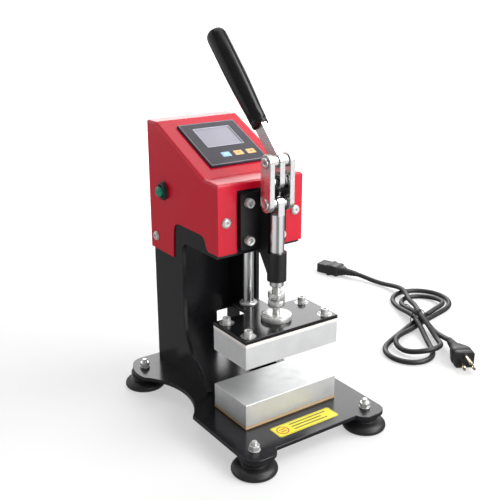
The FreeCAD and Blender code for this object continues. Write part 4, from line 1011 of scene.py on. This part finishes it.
def backdrop(name, bm, glow):
    """White studio surface that mirrors don't show. It glows a little more away from the press."""
    mesh = bpy.data.meshes.new(name)
    bm.to_mesh(mesh)
    bm.free()
    look = Look(name, (0.42, 0.42, 0.42), 0.7, emission_color=(1.0, 1.0, 1.0, 1.0))
    look.gloss(look.noise(3.0), 0.05)
    away = look.node("ShaderNodeVectorMath", operation="LENGTH")
    look.link(look.coords, away.inputs[0])
    look.link(look.spread(away.outputs["Value"], *glow, 0.45, 1.7), look.shader.inputs["Emission Strength"])
    mesh.materials.append(look.material)
    surface = bpy.data.objects.new(name, mesh)
    surface.visible_glossy = False
    bpy.context.scene.collection.objects.link(surface)
    return surface


def make_backdrops():
    """Round floor, a white surround for every view, and cards that show only in mirroring faces."""
    bm = bmesh.new()
    bm.faces.new([bm.verts.new((x * MM, y * MM, z * MM)) for x, y, z in round_ring(4000.0, 0.0, 96)])
    backdrop("floor", bm, (0.50, 1.1))

    bm = bmesh.new()
    skin(bm, scaled([round_ring(3900.0, -10.0, 96), round_ring(3900.0, 5000.0, 96)]), Matrix())
    surround = backdrop("surround", bm, (1.1, 1.1))
    surround.visible_diffuse = False
    surround.visible_shadow = False

    cards = {
        "front_card": (0.22, 0.5, [(-0.1, -2.6, 0.0005), (2.4, -2.6, 0.0005), (2.4, -0.32, 0.0005),
                                   (-0.1, -0.32, 0.0005)]),
        "side_card": (0.4, 0.6, [(-2.6, -1.1, 0.0005), (-0.45, -0.5, 0.0005), (-0.45, 0.3, 0.0005),
                                 (-2.6, 0.3, 0.0005)]),
        "left_card": (0.3, 0.42, [(-2.6, 0.9, 0.0), (-0.2, 2.6, 0.0), (-0.2, 2.6, 2.4), (-2.6, 0.9, 2.4)]),
        "back_card": (0.9, 0.9, [(0.6, 3.1, 0.2), (3.3, 1.3, 0.2), (3.3, 1.3, 2.0), (0.6, 3.1, 2.0)]),
    }
    for name, (near, far, corners) in cards.items():
        bm = bmesh.new()
        bm.faces.new([bm.verts.new(corner) for corner in corners])
        card = backdrop(name, bm, (near, far))
        card.visible_glossy = True
        card.visible_camera = False
        card.visible_diffuse = False
        card.visible_shadow = False


def make_studio():
    middle = Vector((0.0, -0.03, 0.2))
    area_light("key", Vector((1.35, -0.95, 1.95)), middle, (1.4, 1.4), 44.0)
    area_light("front", Vector((0.7, -2.3, 1.0)), middle, (1.5, 1.2), 34.0)
    area_light("back", Vector((1.15, 1.8, 1.25)), middle, (2.2, 1.1), 20.0)
    area_light("top", Vector((0.35, 0.5, 2.1)), middle, (1.8, 1.8), 16.0)
    world = bpy.data.worlds.new("studio")
    world.use_nodes = True
    background = world.node_tree.nodes["Background"]
    background.inputs["Color"].default_value = (1.0, 1.0, 1.0, 1.0)
    background.inputs["Strength"].default_value = 0.25
    bpy.context.scene.world = world

    data = bpy.data.cameras.new("camera")
    data.sensor_width = 36.0
    data.lens = CAMERA_LENS
    camera = bpy.data.objects.new("camera", data)
    camera.location = CAMERA_PLACE
    look_at(camera, CAMERA_TARGET)
    bpy.context.scene.collection.objects.link(camera)
    bpy.context.scene.camera = camera
    bpy.context.scene.view_settings.view_transform = "Standard"


make_backdrops()
make_studio()
